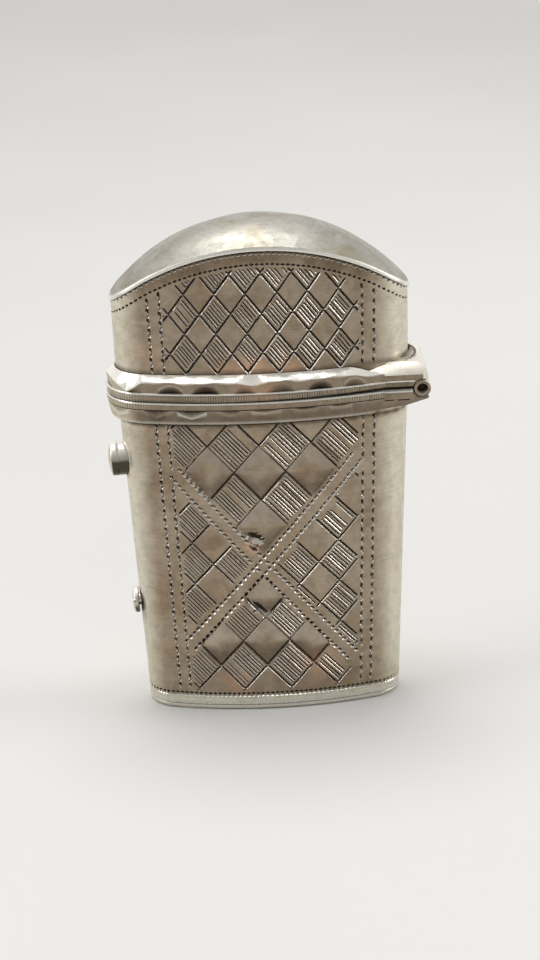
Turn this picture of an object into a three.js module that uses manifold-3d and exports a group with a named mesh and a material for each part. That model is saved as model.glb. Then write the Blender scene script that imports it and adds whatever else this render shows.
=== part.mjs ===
// A pocket toothpick case in silver: an oval tapering body, an arched lid on a five-knuckle
// hinge, and a push-button catch on a blade spring. Millimetres, +Z up, the foot at z = 0,
// the hinge towards +X, the decorated front towards -Y.

import * as THREE from 'three';
import Module from 'manifold-3d';
import { mergeVertices } from 'three/addons/utils/BufferGeometryUtils.js';

const wasm = await Module();
wasm.setup();

// Overall form: the oval outline at the mouth, its taper to the foot and its flare to the roof
const mouthHalfWidth = 19.2;
const mouthHalfDepth = 7.0;
const footTaperWidth = 2.1;
const footTaperDepth = 0.6;
const crestFlareWidth = 0.2;
const crestFlareDepth = 0.1;
const endRadiusShare = 0.71; // radius of the rounded ends, as a share of the half-depth

// Heights
const mouthHeight = 44.6;
const lidSideHeight = 13.0; // from the mouth to the roof's edge at the rounded ends
const archRise = 7.4; // from there to the roof's edge at the middle of the front
const roofCrown = 2.2; // rise of the domed roof above its arched edge
const domePower = 2.6; // how flat the dome is: 2 is evenly round, more is flatter with steeper sides

// Sheet and clearances
const wall = 0.7;
const basePlate = 0.7;
const baseRounding = 0.5;
const roofPlate = 0.7;
const roofOverhang = 0.25;
const roofSeat = 0.15; // gap under the roof plate
const seat = 0.1; // gap between pieces that are soldered or rest together
const seam = 0.12; // gap between the lid and the body
const slideFit = 0.15; // clearance of pieces that pass each other

// Mounts, the mouldings round the mouth
const mountProud = 1.35;
const milledBand = 1.0;
const fillet = 0.22;
const lidMountHeight = 3.45;
const lidMountBevel = 0.65;
const bodyMountHeight = 3.4;
const bodyMountLip = 0.35;

// Mouth bezel, the lip that the lid closes over
const bezelSheet = 0.5;
const bezelAbove = 2.6;
const bezelBelow = 5.0;

// Liner sleeve
const linerSheet = 0.4;
const linerFloor = 0.5;
const linerBelowBezel = 0.3;

// Hinge
const hingeOut = 1.4; // from the outline at the mouth to the barrel's axis
const hingeLength = 12;
const knuckleCount = 5;
const knuckleRadius = 1.1;
const knuckleGap = 0.16;
const pinRadius = 0.58;
const pinFit = 0.08;
const pinRecess = 0.9;
const barrelClearance = 0.2;
const lidLeaf = {
  rootRise: lidMountHeight,
  tipReach: 0.5,
  back: [[0.8, 1.5], [0.4, 1.85], [-1.9, 2.5]],
};
const bodyLeaf = {
  rootRise: bodyMountHeight,
  tipReach: 0.4,
  back: [[0.1, 1.8], [-1.35, 2.9]],
};
const openAngle = 105; // degrees
const stopMargin = 1.0; // degrees left between the leaves' tips at openAngle

// Catch
const catchWidth = 3.8;
const bladeSheet = 0.45;
const bladeDepth = 1.95; // from the wall's outer face to the blade's outer face
const bladeFootBelow = 2.6; // blade below the screw's axis
const bladeHeadBelow = 0.45; // blade's top edge below the bezel's
const screwHeight = 14.5;
const screwHeadRadius = 1.8;
const screwHead = 0.85;
const screwHeadGap = 0.2; // under the head
const screwSlotTurn = 20; // degrees
const screwShankRadius = 0.8;
const screwSlotWidth = 0.55;
const screwSlotDepth = 0.45;
const screwHoleFit = 0.15;
const footLength = 5.2;
const footThickness = 1.4;
const buttonHeight = 35;
const buttonRadius = 2.3;
const buttonStandsOut = 2.2;
const buttonDome = 0.45;
const buttonHoleFit = 0.14;
const buttonGrooveAt = 0.7; // from the wall to the turned groove
const buttonGroove = 0.14;
const stemRadius = 0.7;
const stemTail = 0.5;
const tailRadius = 1.15;
const noseHeight = 1.0;
const noseWidth = 2.2;
const noseAboveMouth = 0.95;
const noseInsideWall = 0.15; // nose tip behind the lid wall's outer face
const noseSlotFit = 0.25;
const pressTravel = 0.65; // travel of the button

// Fineness of the curves
const endSteps = 12;
const sideSteps = 12;
const roundSteps = 32;

// Sizes that follow
const footHalfWidth = mouthHalfWidth - footTaperWidth;
const footHalfDepth = mouthHalfDepth - footTaperDepth;
const crestHalfWidth = mouthHalfWidth + crestFlareWidth;
const crestHalfDepth = mouthHalfDepth + crestFlareDepth;
const eavesHeight = mouthHeight + lidSideHeight;
const archHeight = eavesHeight + archRise;
const hingeX = mouthHalfWidth + hingeOut;

const silver = { color: 0xcfc9ba, roughness: 0.32, metalness: 1 };
const wornSilver = { color: 0xb8b09f, roughness: 0.4, metalness: 1 };
const gilt = { color: 0xd8b66a, roughness: 0.3, metalness: 1 };
const springSteel = { color: 0x8d9096, roughness: 0.45, metalness: 1 };

// Outline

function mix(low, high, share) {
  return low + (high - low) * share;
}

// The outline's size at a height: a straight taper up to the mouth, a gentler one above it
function sizeAt(z) {
  if (z <= mouthHeight) {
    const share = z / mouthHeight;
    return {
      halfWidth: mix(footHalfWidth, mouthHalfWidth, share),
      halfDepth: mix(footHalfDepth, mouthHalfDepth, share),
    };
  }
  const share = (z - mouthHeight) / (eavesHeight - mouthHeight);
  return {
    halfWidth: mix(mouthHalfWidth, crestHalfWidth, Math.min(share, 1)),
    halfDepth: mix(mouthHalfDepth, crestHalfDepth, Math.min(share, 1)),
  };
}

function arc(centreX, centreY, radius, from, to, steps) {
  const points = [];
  for (let i = 0; i < steps; i += 1) {
    const angle = mix(from, to, i / steps);
    points.push(
      new THREE.Vector2(
        centreX + radius * Math.cos(angle),
        centreY + radius * Math.sin(angle),
      ),
    );
  }
  return points;
}

// A four-centre oval: small arcs at both ends, large arcs front and back, tangent where they meet.
// It runs anticlockwise from the front edge of the right-hand end. An offset keeps the centres.
function oval({ halfWidth, halfDepth }, offset = 0) {
  const a = halfWidth;
  const b = halfDepth;
  const r = b * endRadiusShare;
  const sideRadius = (a * a - 2 * a * r + b * b) / (2 * (b - r));
  const meet = Math.atan2(sideRadius - b, a - r);
  const small = r + offset;
  const large = sideRadius + offset;
  return [
    ...arc(a - r, 0, small, -meet, meet, endSteps),
    ...arc(0, b - sideRadius, large, meet, Math.PI - meet, sideSteps),
    ...arc(r - a, 0, small, Math.PI - meet, Math.PI + meet, endSteps),
    ...arc(0, sideRadius - b, large, Math.PI + meet, 2 * Math.PI - meet, sideSteps),
  ];
}

function ringAt(z, offset = 0) {
  return oval(sizeAt(z), offset).map((p) => new THREE.Vector3(p.x, p.y, z));
}

function flatRing(size, offset, z) {
  return oval(size, offset).map((p) => new THREE.Vector3(p.x, p.y, z));
}

// Surfaces from rings

function triangles(points, faces) {
  const geometry = new THREE.BufferGeometry();
  const flat = points.flatMap((p) => [p.x, p.y, p.z]);
  geometry.setAttribute('position', new THREE.Float32BufferAttribute(flat, 3));
  geometry.setIndex(faces);
  geometry.computeVertexNormals();
  return geometry;
}

function stripFaces(low, high, count) {
  const faces = [];
  for (let i = 0; i < count; i += 1) {
    const next = (i + 1) % count;
    faces.push(low + i, low + next, high + next);
    faces.push(low + i, high + next, high + i);
  }
  return faces;
}

// Rings up the outside and down the inside, joined back to the first: an open tube with a wall
function tubeOf(rings) {
  const count = rings[0].length;
  const faces = rings.flatMap((_, k) =>
    stripFaces(k * count, ((k + 1) % rings.length) * count, count),
  );
  return triangles(rings.flat(), faces);
}

// Rings from the bottom to the top, closed by a fan at each end
function plugOf(rings, bottomCentre, topCentre) {
  const count = rings[0].length;
  const points = [...rings.flat(), bottomCentre, topCentre];
  const bottom = points.length - 2;
  const top = points.length - 1;
  const lastRing = (rings.length - 1) * count;
  const faces = [];
  for (let k = 0; k + 1 < rings.length; k += 1) {
    faces.push(...stripFaces(k * count, (k + 1) * count, count));
  }
  for (let i = 0; i < count; i += 1) {
    const next = (i + 1) % count;
    faces.push(bottom, next, i);
    faces.push(top, lastRing + i, lastRing + next);
  }
  return triangles(points, faces);
}

function heights(from, to, steps) {
  return Array.from({ length: steps + 1 }, (_, i) => mix(from, to, i / steps));
}

// Joining and cutting

function solidOf(geometry) {
  const bare = geometry.clone();
  bare.deleteAttribute('normal');
  bare.deleteAttribute('uv');
  const merged = mergeVertices(bare, 1e-5);
  return new wasm.Manifold(
    new wasm.Mesh({
      numProp: 3,
      vertProperties: new Float32Array(merged.attributes.position.array),
      triVerts: new Uint32Array(merged.index.array),
    }),
  );
}

function geometryOf(solid) {
  const mesh = solid.getMesh();
  const geometry = new THREE.BufferGeometry();
  geometry.setAttribute('position', new THREE.BufferAttribute(mesh.vertProperties, 3));
  geometry.setIndex(new THREE.BufferAttribute(mesh.triVerts, 1));
  geometry.computeVertexNormals();
  return geometry;
}

function cut(geometry, ...tools) {
  const left = tools.reduce((solid, tool) => solid.subtract(solidOf(tool)), solidOf(geometry));
  return geometryOf(left);
}

// Plain shapes in place

function box(lowX, highX, lowY, highY, lowZ, highZ) {
  const geometry = new THREE.BoxGeometry(highX - lowX, highY - lowY, highZ - lowZ);
  return geometry.translate((lowX + highX) / 2, (lowY + highY) / 2, (lowZ + highZ) / 2);
}

// A profile of [radius, height] turned about an axis along Y
function turnedAlongY(profile, steps = roundSteps) {
  const points = profile.map(([radius, along]) => new THREE.Vector2(radius, along));
  return new THREE.LatheGeometry(points, steps);
}

// A profile of [radius, distance] turned about an axis along X, distances towards +X
function turnedAlongX(profile, steps = roundSteps) {
  return turnedAlongY(profile, steps).rotateZ(-Math.PI / 2);
}

// A profile in the XZ plane, drawn out along Y between two limits
function drawnAlongY(shape, lowY, highY) {
  const geometry = new THREE.ExtrudeGeometry(shape, { depth: highY - lowY, bevelEnabled: false });
  return geometry.rotateX(Math.PI / 2).translate(0, highY, 0);
}

function piece(name, geometry, finish) {
  const mesh = new THREE.Mesh(geometry, new THREE.MeshStandardMaterial(finish));
  mesh.name = name;
  return mesh;
}

// The left wall's own frame: x into the case, z up along the tapering wall, origin at the foot

const wallTilt = -Math.atan2(mouthHalfWidth - footHalfWidth, mouthHeight);

function leftWallFrame() {
  const place = new THREE.Matrix4().makeTranslation(-footHalfWidth, 0, 0);
  return place.multiply(new THREE.Matrix4().makeRotationY(wallTilt));
}

function alongWall(z) {
  return z / Math.cos(wallTilt);
}

// Body

function bodyShell() {
  const low = basePlate + seat;
  const high = mouthHeight - seam / 2;
  const levels = heights(low, high, 4);
  const outside = levels.map((z) => ringAt(z));
  const inside = [...levels].reverse().map((z) => ringAt(z, -wall));
  const buttonHole = turnedAlongX(rod(buttonRadius + buttonHoleFit, -wall, 2 * wall));
  const screwHole = turnedAlongX(rod(screwShankRadius + screwHoleFit, -wall, 2 * wall));
  buttonHole.translate(0, 0, alongWall(buttonHeight)).applyMatrix4(leftWallFrame());
  screwHole.translate(0, 0, alongWall(screwHeight)).applyMatrix4(leftWallFrame());
  return cut(tubeOf([...outside, ...inside]), buttonHole, screwHole);
}

function rod(radius, from, to) {
  return [[0, from], [radius, from], [radius, to], [0, to]];
}

function tubeProfile(inner, outer, from, to) {
  return [[inner, from], [outer, from], [outer, to], [inner, to], [inner, from]];
}

function basePlateSolid() {
  const rings = [
    flatRing(sizeAt(0), -baseRounding, 0),
    flatRing(sizeAt(0), -baseRounding * 0.3, baseRounding * 0.3),
    ringAt(baseRounding),
    ringAt(basePlate),
  ];
  return plugOf(rings, new THREE.Vector3(0, 0, 0), new THREE.Vector3(0, 0, basePlate));
}

// A moulding round the mouth from a profile of [offset, height above the mouth], drawn up the
// outside and back down against the wall, with the hinge's place left out of its right-hand end
function mountSolid(profile) {
  const size = sizeAt(mouthHeight);
  const rings = profile.map(([offset, rise]) => {
    const onWall = sizeAt(mouthHeight + rise);
    const base = offset > seat ? size : onWall;
    return flatRing(base, offset, mouthHeight + rise);
  });
  const gap = hingeLength / 2 + seat;
  const reach = hingeX + mountProud;
  const hingePlace = box(0, reach, -gap, gap, mouthHeight - reach, mouthHeight + reach);
  return cut(tubeOf(rings), hingePlace);
}

function lidMount() {
  const low = seam / 2;
  const band = milledBand;
  return mountSolid([
    [seat, low],
    [mountProud, low],
    [mountProud, band],
    [mountProud + fillet / 2, band + fillet / 2],
    [mountProud, band + fillet],
    [mountProud - 0.05, lidMountHeight - lidMountBevel],
    [seat + 0.15, lidMountHeight],
    [seat, lidMountHeight],
  ]);
}

function bodyMount() {
  const high = -seam / 2;
  const band = -milledBand;
  return mountSolid([
    [seat, -bodyMountHeight],
    [bodyMountLip, -bodyMountHeight],
    [mountProud - 0.05, band - fillet],
    [mountProud - fillet / 2, band - fillet / 2],
    [mountProud, band],
    [mountProud, high],
    [seat, high],
  ]);
}

function mouthBezel() {
  const low = mouthHeight - bezelBelow;
  const high = mouthHeight + bezelAbove;
  const outside = [
    ringAt(low, -wall - seat),
    flatRing(sizeAt(mouthHeight), -wall - slideFit, mouthHeight),
    flatRing(sizeAt(mouthHeight), -wall - slideFit, high - slideFit),
    flatRing(sizeAt(mouthHeight), -wall - 2 * slideFit, high),
  ];
  const inset = -wall - slideFit - bezelSheet;
  const inside = [
    flatRing(sizeAt(mouthHeight), inset, high),
    flatRing(sizeAt(mouthHeight), inset, mouthHeight),
    ringAt(low, -wall - seat - bezelSheet),
  ];
  const noseLow = mouthHeight + noseAboveMouth;
  const window = box(
    -mouthHalfWidth - wall,
    -mouthHalfWidth + mouthHalfDepth / 2,
    -noseWidth / 2 - noseSlotFit,
    noseWidth / 2 + noseSlotFit,
    noseLow - noseSlotFit,
    noseLow + noseHeight + noseSlotFit,
  );
  return cut(tubeOf([...outside, ...inside]), window);
}

// Liner: it follows the right-hand wall, and leaves the left-hand end free for the blade's travel

// The blade bends just above its foot, so its head moves further than the button
const flexHeight = screwHeight + footLength / 2;
const headTravelShare = (mouthHeight + bezelAbove - flexHeight) / (buttonHeight - flexHeight);
const bladeTravel = pressTravel * headTravelShare;
const springRoom = bladeDepth + bladeSheet + stemTail + bladeTravel + slideFit;
const linerTop = mouthHeight + bezelAbove - linerBelowBezel;
const linerFoot = basePlate + seat;

function linerRing(z, offset = 0) {
  const size = sizeAt(Math.min(z, mouthHeight));
  const inset = wall + slideFit + bezelSheet + slideFit - offset;
  const right = size.halfWidth - inset;
  const left = size.halfWidth - springRoom + offset;
  return oval(size, -inset).map((p) => {
    const x = p.x < 0 ? (p.x * left) / right : p.x;
    return new THREE.Vector3(x, p.y, z);
  });
}

function linerSleeve() {
  const levels = [linerFoot, mouthHeight, linerTop];
  const outside = levels.map((z) => linerRing(z));
  const inside = [...levels].reverse().map((z) => linerRing(z, -linerSheet));
  return tubeOf([...outside, ...inside]);
}

function linerFloorSolid() {
  const low = linerFoot;
  const high = linerFoot + linerFloor;
  const inset = -linerSheet - seat;
  const rings = [linerRing(low, inset), linerRing(high, inset)];
  return plugOf(rings, new THREE.Vector3(0, 0, low), new THREE.Vector3(0, 0, high));
}

// Lid

const eavesHalfChord = crestHalfWidth + roofOverhang;
const archRadius = (eavesHalfChord ** 2 + archRise ** 2) / (2 * archRise);

// Height of the arched roof's edge above a place along the width
function archAt(x) {
  return archHeight - archRadius + Math.sqrt(archRadius ** 2 - x ** 2);
}

// A ring of the lid's wall between the mouth and the roof, a share of the way up at each point
function lidRing(share, offset) {
  const low = mouthHeight + seam / 2;
  return oval(sizeAt(mix(low, eavesHeight, share)), offset).map((p) => {
    const high = archAt(p.x) - roofPlate - roofSeat;
    return new THREE.Vector3(p.x, p.y, mix(low, high, share));
  });
}

function lidShell() {
  const levels = heights(0, 1, 3);
  const outside = levels.map((share) => lidRing(share, 0));
  const inside = [...levels].reverse().map((share) => lidRing(share, -wall));
  const noseLow = mouthHeight + noseAboveMouth;
  const slot = box(
    -crestHalfWidth - wall,
    -mouthHalfWidth + mouthHalfDepth / 2,
    -noseWidth / 2 - noseSlotFit,
    noseWidth / 2 + noseSlotFit,
    noseLow - noseSlotFit,
    noseLow + noseHeight + noseSlotFit,
  );
  return cut(tubeOf([...outside, ...inside]), slot);
}

// Rise of the dome above the arched edge, a share of the way out to that edge
function domeAt(share) {
  return roofCrown * (1 - share ** domePower);
}

// A ring of the roof: the outline at an inset, shrunk towards the middle, at a rise above the arch
function roofRing(inset, scale, rise) {
  const size = { halfWidth: crestHalfWidth, halfDepth: crestHalfDepth };
  return oval(size, roofOverhang - inset).map((p) => {
    const x = p.x * scale;
    return new THREE.Vector3(x, p.y * scale, archAt(x) + rise);
  });
}

// The underside is flat over the wall's edge and hollow inside it
function lidRoof() {
  const rim = roofOverhang + wall;
  const round = 0.3;
  const shares = [0.2, 0.4, 0.6, 0.76, 0.9];
  const under = [...shares, 1].map((share) => roofRing(rim, share, domeAt(share) - roofPlate));
  const edge = [
    roofRing(roofOverhang, 1, -roofPlate),
    roofRing(0.06, 1, -roofPlate * 0.85),
    roofRing(0, 1, -roofPlate * 0.6),
    roofRing(0.08, 1, -roofPlate * 0.25),
    roofRing(round, 1, 0),
  ];
  const over = [...shares].reverse().map((share) => roofRing(round, share, domeAt(share)));
  const top = archHeight + roofCrown;
  return plugOf(
    [...under, ...edge, ...over],
    new THREE.Vector3(0, 0, top - roofPlate),
    new THREE.Vector3(0, 0, top),
  );
}

// Hinge

const barrelRoom = knuckleRadius + barrelClearance;
const tipAngle = THREE.MathUtils.degToRad((openAngle + stopMargin) / 2);

// A leaf's profile in the XZ plane: from the wall out to the barrel, hollowed round it, with a tip
// that stands beyond the barrel and stops the lid. side is 1 for the lid's leaf, -1 for the body's.
// back holds the outer side's corners as [distance from the axis, rise from the mouth].
function leafShape(side, { rootRise, tipReach, back }) {
  const x = (distance) => hingeX + distance;
  const z = (rise) => mouthHeight + side * rise;
  const tip = (radius) => [x(radius * Math.cos(tipAngle)), z(radius * Math.sin(tipAngle))];
  const bottomStart = Math.sqrt(barrelRoom ** 2 - (seam / 2) ** 2);
  const points = [[x(-hingeX / 2), z(seam / 2)], [x(-bottomStart), z(seam / 2)]];
  const from = Math.PI - Math.asin(seam / 2 / barrelRoom);
  for (const share of heights(0, 1, 14).slice(1)) {
    const angle = mix(from, tipAngle, share);
    points.push([x(barrelRoom * Math.cos(angle)), z(barrelRoom * Math.sin(angle))]);
  }
  points.push(tip(barrelRoom + tipReach));
  points.push(...back.map(([reach, rise]) => [x(reach), z(rise)]));
  points.push([x(-hingeX / 2), z(rootRise)]);
  const turned = side > 0 ? points : points.reverse();
  return new THREE.Shape(turned.map(([px, pz]) => new THREE.Vector2(px, pz)));
}

function leafSolid(side, sizes) {
  return drawnAlongY(leafShape(side, sizes), -hingeLength / 2, hingeLength / 2);
}

function wallPlug(lowZ, highZ) {
  const rings = [ringAt(lowZ, seat), ringAt(mouthHeight, seat), ringAt(highZ, seat)];
  return plugOf(rings, new THREE.Vector3(0, 0, lowZ), new THREE.Vector3(0, 0, highZ));
}

function lidHingeLeaf() {
  return cut(leafSolid(1, lidLeaf), wallPlug(mouthHeight - 5, mouthHeight + 8));
}

function bodyHingeLeaf() {
  return cut(leafSolid(-1, bodyLeaf), wallPlug(mouthHeight - 8, mouthHeight + 5));
}

const knucklePitch = hingeLength / knuckleCount;

function knuckle(index) {
  const low = -hingeLength / 2 + index * knucklePitch + (index > 0 ? knuckleGap / 2 : 0);
  const last = index === knuckleCount - 1;
  const high = -hingeLength / 2 + (index + 1) * knucklePitch - (last ? 0 : knuckleGap / 2);
  return turnedAlongY(tubeProfile(pinRadius + pinFit, knuckleRadius, low, high));
}

function hingePin() {
  const end = hingeLength / 2 - pinRecess;
  const round = pinRadius * 0.3;
  return turnedAlongY([
    [0, -end],
    [pinRadius - round, -end],
    [pinRadius, -end + round],
    [pinRadius, end - round],
    [pinRadius - round, end],
    [0, end],
  ], 24);
}

// Catch, in the left wall's frame

const bladeFrom = bladeDepth;
const bladeTo = bladeDepth + bladeSheet;

// The blade is flat across the case: a tall plate with a hole for the screw and one for the stem
function catchBlade() {
  const low = alongWall(screwHeight) - bladeFootBelow;
  const high = alongWall(mouthHeight + bezelAbove) - bladeHeadBelow;
  const half = catchWidth / 2;
  const shape = new THREE.Shape();
  const shoulder = alongWall(mouthHeight - bezelBelow) - 1;
  const headHalf = noseWidth / 2;
  shape.moveTo(-half, low);
  shape.lineTo(half, low);
  shape.lineTo(half, shoulder);
  shape.lineTo(headHalf, shoulder + 1);
  shape.lineTo(headHalf, high);
  shape.lineTo(-headHalf, high);
  shape.lineTo(-headHalf, shoulder + 1);
  shape.lineTo(-half, shoulder);
  shape.closePath();
  const hole = (z, radius) => {
    const path = new THREE.Path();
    path.absarc(0, z, radius, 0, 2 * Math.PI, true);
    return path;
  };
  shape.holes.push(hole(alongWall(screwHeight), screwShankRadius + screwHoleFit));
  shape.holes.push(hole(alongWall(buttonHeight), stemRadius + seat));
  const plate = new THREE.ExtrudeGeometry(shape, {
    depth: bladeSheet,
    bevelEnabled: false,
    curveSegments: 8,
  });
  return plate.rotateX(Math.PI / 2).rotateZ(Math.PI / 2).translate(bladeFrom, 0, 0);
}

function pushButton() {
  const back = bladeFrom - seat;
  const tail = bladeTo + seat;
  const rim = buttonStandsOut - buttonDome;
  const domeRadius = (buttonRadius ** 2 + buttonDome ** 2) / (2 * buttonDome);
  const sweep = Math.asin(buttonRadius / domeRadius);
  const dome = heights(1, 0, 5).map((share) => {
    const angle = sweep * share;
    const drop = domeRadius * (1 - Math.cos(angle));
    return [domeRadius * Math.sin(angle), -buttonStandsOut + drop];
  });
  const profile = [
    [0, tail + stemTail],
    [tailRadius * 0.6, tail + stemTail],
    [tailRadius, tail],
    [stemRadius, tail],
    [stemRadius, back],
    [buttonRadius - 0.5, back],
    [buttonRadius - 0.5, wall],
    [buttonRadius, wall - 0.1],
    [buttonRadius, -buttonGrooveAt + buttonGroove],
    [buttonRadius - buttonGroove, -buttonGrooveAt],
    [buttonRadius, -buttonGrooveAt - buttonGroove],
    [buttonRadius, -rim],
    ...dome.slice(1),
  ].reverse();
  return turnedAlongX(profile).translate(0, 0, alongWall(buttonHeight));
}

function catchNose() {
  const tip = noseInsideWall;
  const root = bladeFrom - seat;
  const low = alongWall(mouthHeight + noseAboveMouth);
  const high = low + noseHeight;
  const shape = new THREE.Shape();
  shape.moveTo(tip, low);
  shape.lineTo(root, low);
  shape.lineTo(root, high);
  shape.lineTo(tip + 0.7, high);
  shape.lineTo(tip, low + 0.35);
  shape.closePath();
  return drawnAlongY(shape, -noseWidth / 2, noseWidth / 2);
}

function springScrew() {
  const head = -screwHead - screwHeadGap;
  const end = bladeTo + seat + footThickness - 0.1;
  const profile = [
    [0, head],
    [screwHeadRadius - 0.3, head],
    [screwHeadRadius, head + 0.3],
    [screwHeadRadius, -screwHeadGap],
    [screwShankRadius, -screwHeadGap],
    [screwShankRadius, end],
    [0, end],
  ];
  const slotHalf = screwSlotWidth / 2;
  const reach = 2 * screwHeadRadius;
  const slot = box(head - 1, head + screwSlotDepth, -reach, reach, -slotHalf, slotHalf);
  slot.rotateX(THREE.MathUtils.degToRad(-screwSlotTurn));
  return cut(turnedAlongX(profile), slot).translate(0, 0, alongWall(screwHeight));
}

function springFoot() {
  const from = bladeTo + seat;
  const half = catchWidth / 2;
  const block = box(from, from + footThickness, -half, half, -footLength / 2, footLength / 2);
  const thread = turnedAlongX(rod(screwShankRadius + seat, from - 1, from + footThickness + 1));
  return cut(block, thread).translate(0, 0, alongWall(screwHeight));
}

// The assembly

const toothpickCase = new THREE.Group();
const leftWall = new THREE.Group();
leftWall.position.set(-footHalfWidth, 0, 0);
leftWall.rotation.y = wallTilt;
const barrel = new THREE.Group();
barrel.position.set(hingeX, 0, mouthHeight);

toothpickCase.add(
  piece('base_plate', basePlateSolid(), silver),
  piece('body_shell', bodyShell(), silver),
  piece('body_mount', bodyMount(), wornSilver),
  piece('mouth_bezel', mouthBezel(), gilt),
  piece('liner_sleeve', linerSleeve(), gilt),
  piece('liner_floor', linerFloorSolid(), gilt),
  piece('body_hinge_leaf', bodyHingeLeaf(), wornSilver),
  piece('lid_shell', lidShell(), silver),
  piece('lid_roof', lidRoof(), silver),
  piece('lid_mount', lidMount(), wornSilver),
  piece('lid_hinge_leaf', lidHingeLeaf(), wornSilver),
  barrel,
  leftWall,
);

['lid_front', 'body_front', 'lid_middle', 'body_rear', 'lid_rear'].forEach((name, index) => {
  barrel.add(piece(`${name}_knuckle`, knuckle(index), wornSilver));
});
barrel.add(piece('hinge_pin', hingePin(), springSteel));

leftWall.add(
  piece('catch_blade', catchBlade(), springSteel),
  piece('catch_nose', catchNose(), springSteel),
  piece('push_button', pushButton(), silver),
  piece('spring_screw', springScrew(), springSteel),
  piece('spring_foot', springFoot(), springSteel),
);

export default toothpickCase;
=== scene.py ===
"""A silver pocket toothpick case with an engraved front, an arched lid and a push-button catch.

Lengths are in millimetres here and in metres in the scene. +Z is up, +X is towards the hinge,
and the decorated front faces -Y.
"""
import math
import random

import bmesh
import bpy
import numpy as np
from mathutils import Matrix, Vector
from mathutils.geometry import delaunay_2d_cdt


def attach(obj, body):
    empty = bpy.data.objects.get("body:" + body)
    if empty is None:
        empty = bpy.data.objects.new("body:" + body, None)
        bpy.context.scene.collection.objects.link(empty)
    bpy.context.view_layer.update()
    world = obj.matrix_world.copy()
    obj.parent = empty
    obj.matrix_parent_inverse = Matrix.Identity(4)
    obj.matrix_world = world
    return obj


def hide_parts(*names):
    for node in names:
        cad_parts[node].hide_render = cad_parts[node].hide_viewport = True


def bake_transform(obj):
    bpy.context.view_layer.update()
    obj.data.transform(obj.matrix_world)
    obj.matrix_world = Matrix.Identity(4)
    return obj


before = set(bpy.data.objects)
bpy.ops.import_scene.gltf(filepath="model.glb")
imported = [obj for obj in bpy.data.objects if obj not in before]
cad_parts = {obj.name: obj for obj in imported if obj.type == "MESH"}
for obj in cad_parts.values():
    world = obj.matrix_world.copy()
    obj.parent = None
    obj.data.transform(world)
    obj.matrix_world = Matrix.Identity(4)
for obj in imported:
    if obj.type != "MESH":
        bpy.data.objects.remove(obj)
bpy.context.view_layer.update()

MM = 0.001
rng = random.Random(7)

# Sizes, as in the CAD model

MOUTH_HALF_WIDTH = 19.2
MOUTH_HALF_DEPTH = 7.0
FOOT_HALF_WIDTH = 17.1
FOOT_HALF_DEPTH = 6.4
CREST_HALF_WIDTH = 19.4
CREST_HALF_DEPTH = 7.1
END_SHARE = 0.71
MOUTH = 44.6
EAVES = 57.6
ARCH = 65.0
ROOF_CROWN = 2.2
DOME_POWER = 2.6
WALL = 0.7
BASE_PLATE = 0.7
BASE_ROUNDING = 0.5
ROOF_PLATE = 0.7
ROOF_OVERHANG = 0.25
SEAM = 0.12
SEAT = 0.1
MOUNT_PROUD = 1.35
MILLED_BAND = 1.0
LID_MOUNT_HEIGHT = 3.45
BODY_MOUNT_HEIGHT = 3.4
HINGE_X = 20.6
HINGE_LENGTH = 12.0
KNUCKLE_COUNT = 5
KNUCKLE_RADIUS = 1.1
KNUCKLE_GAP = 0.16
PIN_RADIUS = 0.58
PIN_RECESS = 0.9
BARREL_ROOM = KNUCKLE_RADIUS + 0.2
BUTTON_Z = 35.0
BUTTON_RADIUS = 2.3
BUTTON_OUT = 2.2
BUTTON_DOME = 0.45
BLADE_FROM = 1.95
BLADE_THICKNESS = 0.45
SPRING_FOOT = 1.4
SCREW_Z = 14.5
SCREW_HEAD_RADIUS = 1.8
SCREW_HEAD = 0.85
SCREW_HEAD_GAP = 0.2
SCREW_SLOT_TURN = math.radians(20)
SCREW_SLOT_DEPTH = 0.45
SCREW_SLOT_WIDTH = 0.55
SCREW_SHANK = 0.8
NOSE_SLOT_LOW = 45.3
NOSE_SLOT_HIGH = 46.8
NOSE_SLOT_HALF = 1.35

# Outline


def oval_parts(a, b):
    """End radius, side radius and the angle where they meet, of the outline a by b."""
    end = b * END_SHARE
    side = (a * a - 2 * a * end + b * b) / (2 * (b - end))
    meet = np.arctan2(side - b, a - end)
    return end, side, meet


def half_side(a, b):
    """Length from a side's middle to where the rounded end starts."""
    _, side, meet = oval_parts(a, b)
    return side * (math.pi / 2 - meet)


HALF_SIDE = float(half_side(MOUTH_HALF_WIDTH, MOUTH_HALF_DEPTH))
HALF_END = float(np.prod(oval_parts(MOUTH_HALF_WIDTH, MOUTH_HALF_DEPTH)[::2]))
QUARTER = HALF_SIDE + HALF_END
PERIMETER = 4 * QUARTER
BACK_CENTRE = QUARTER
LEFT_CENTRE = 2 * QUARTER
FRONT_CENTRE = 3 * QUARTER


def size_at(z):
    """Half width and half depth of the outline at a height."""
    z = np.asarray(z, float)
    low = z / MOUTH
    high = np.clip((z - MOUTH) / (EAVES - MOUTH), 0, 1)
    wide = FOOT_HALF_WIDTH + (MOUTH_HALF_WIDTH - FOOT_HALF_WIDTH) * low
    deep = FOOT_HALF_DEPTH + (MOUTH_HALF_DEPTH - FOOT_HALF_DEPTH) * low
    wide_lid = MOUTH_HALF_WIDTH + (CREST_HALF_WIDTH - MOUTH_HALF_WIDTH) * high
    deep_lid = MOUTH_HALF_DEPTH + (CREST_HALF_DEPTH - MOUTH_HALF_DEPTH) * high
    return np.where(z <= MOUTH, wide, wide_lid), np.where(z <= MOUTH, deep, deep_lid)


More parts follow.
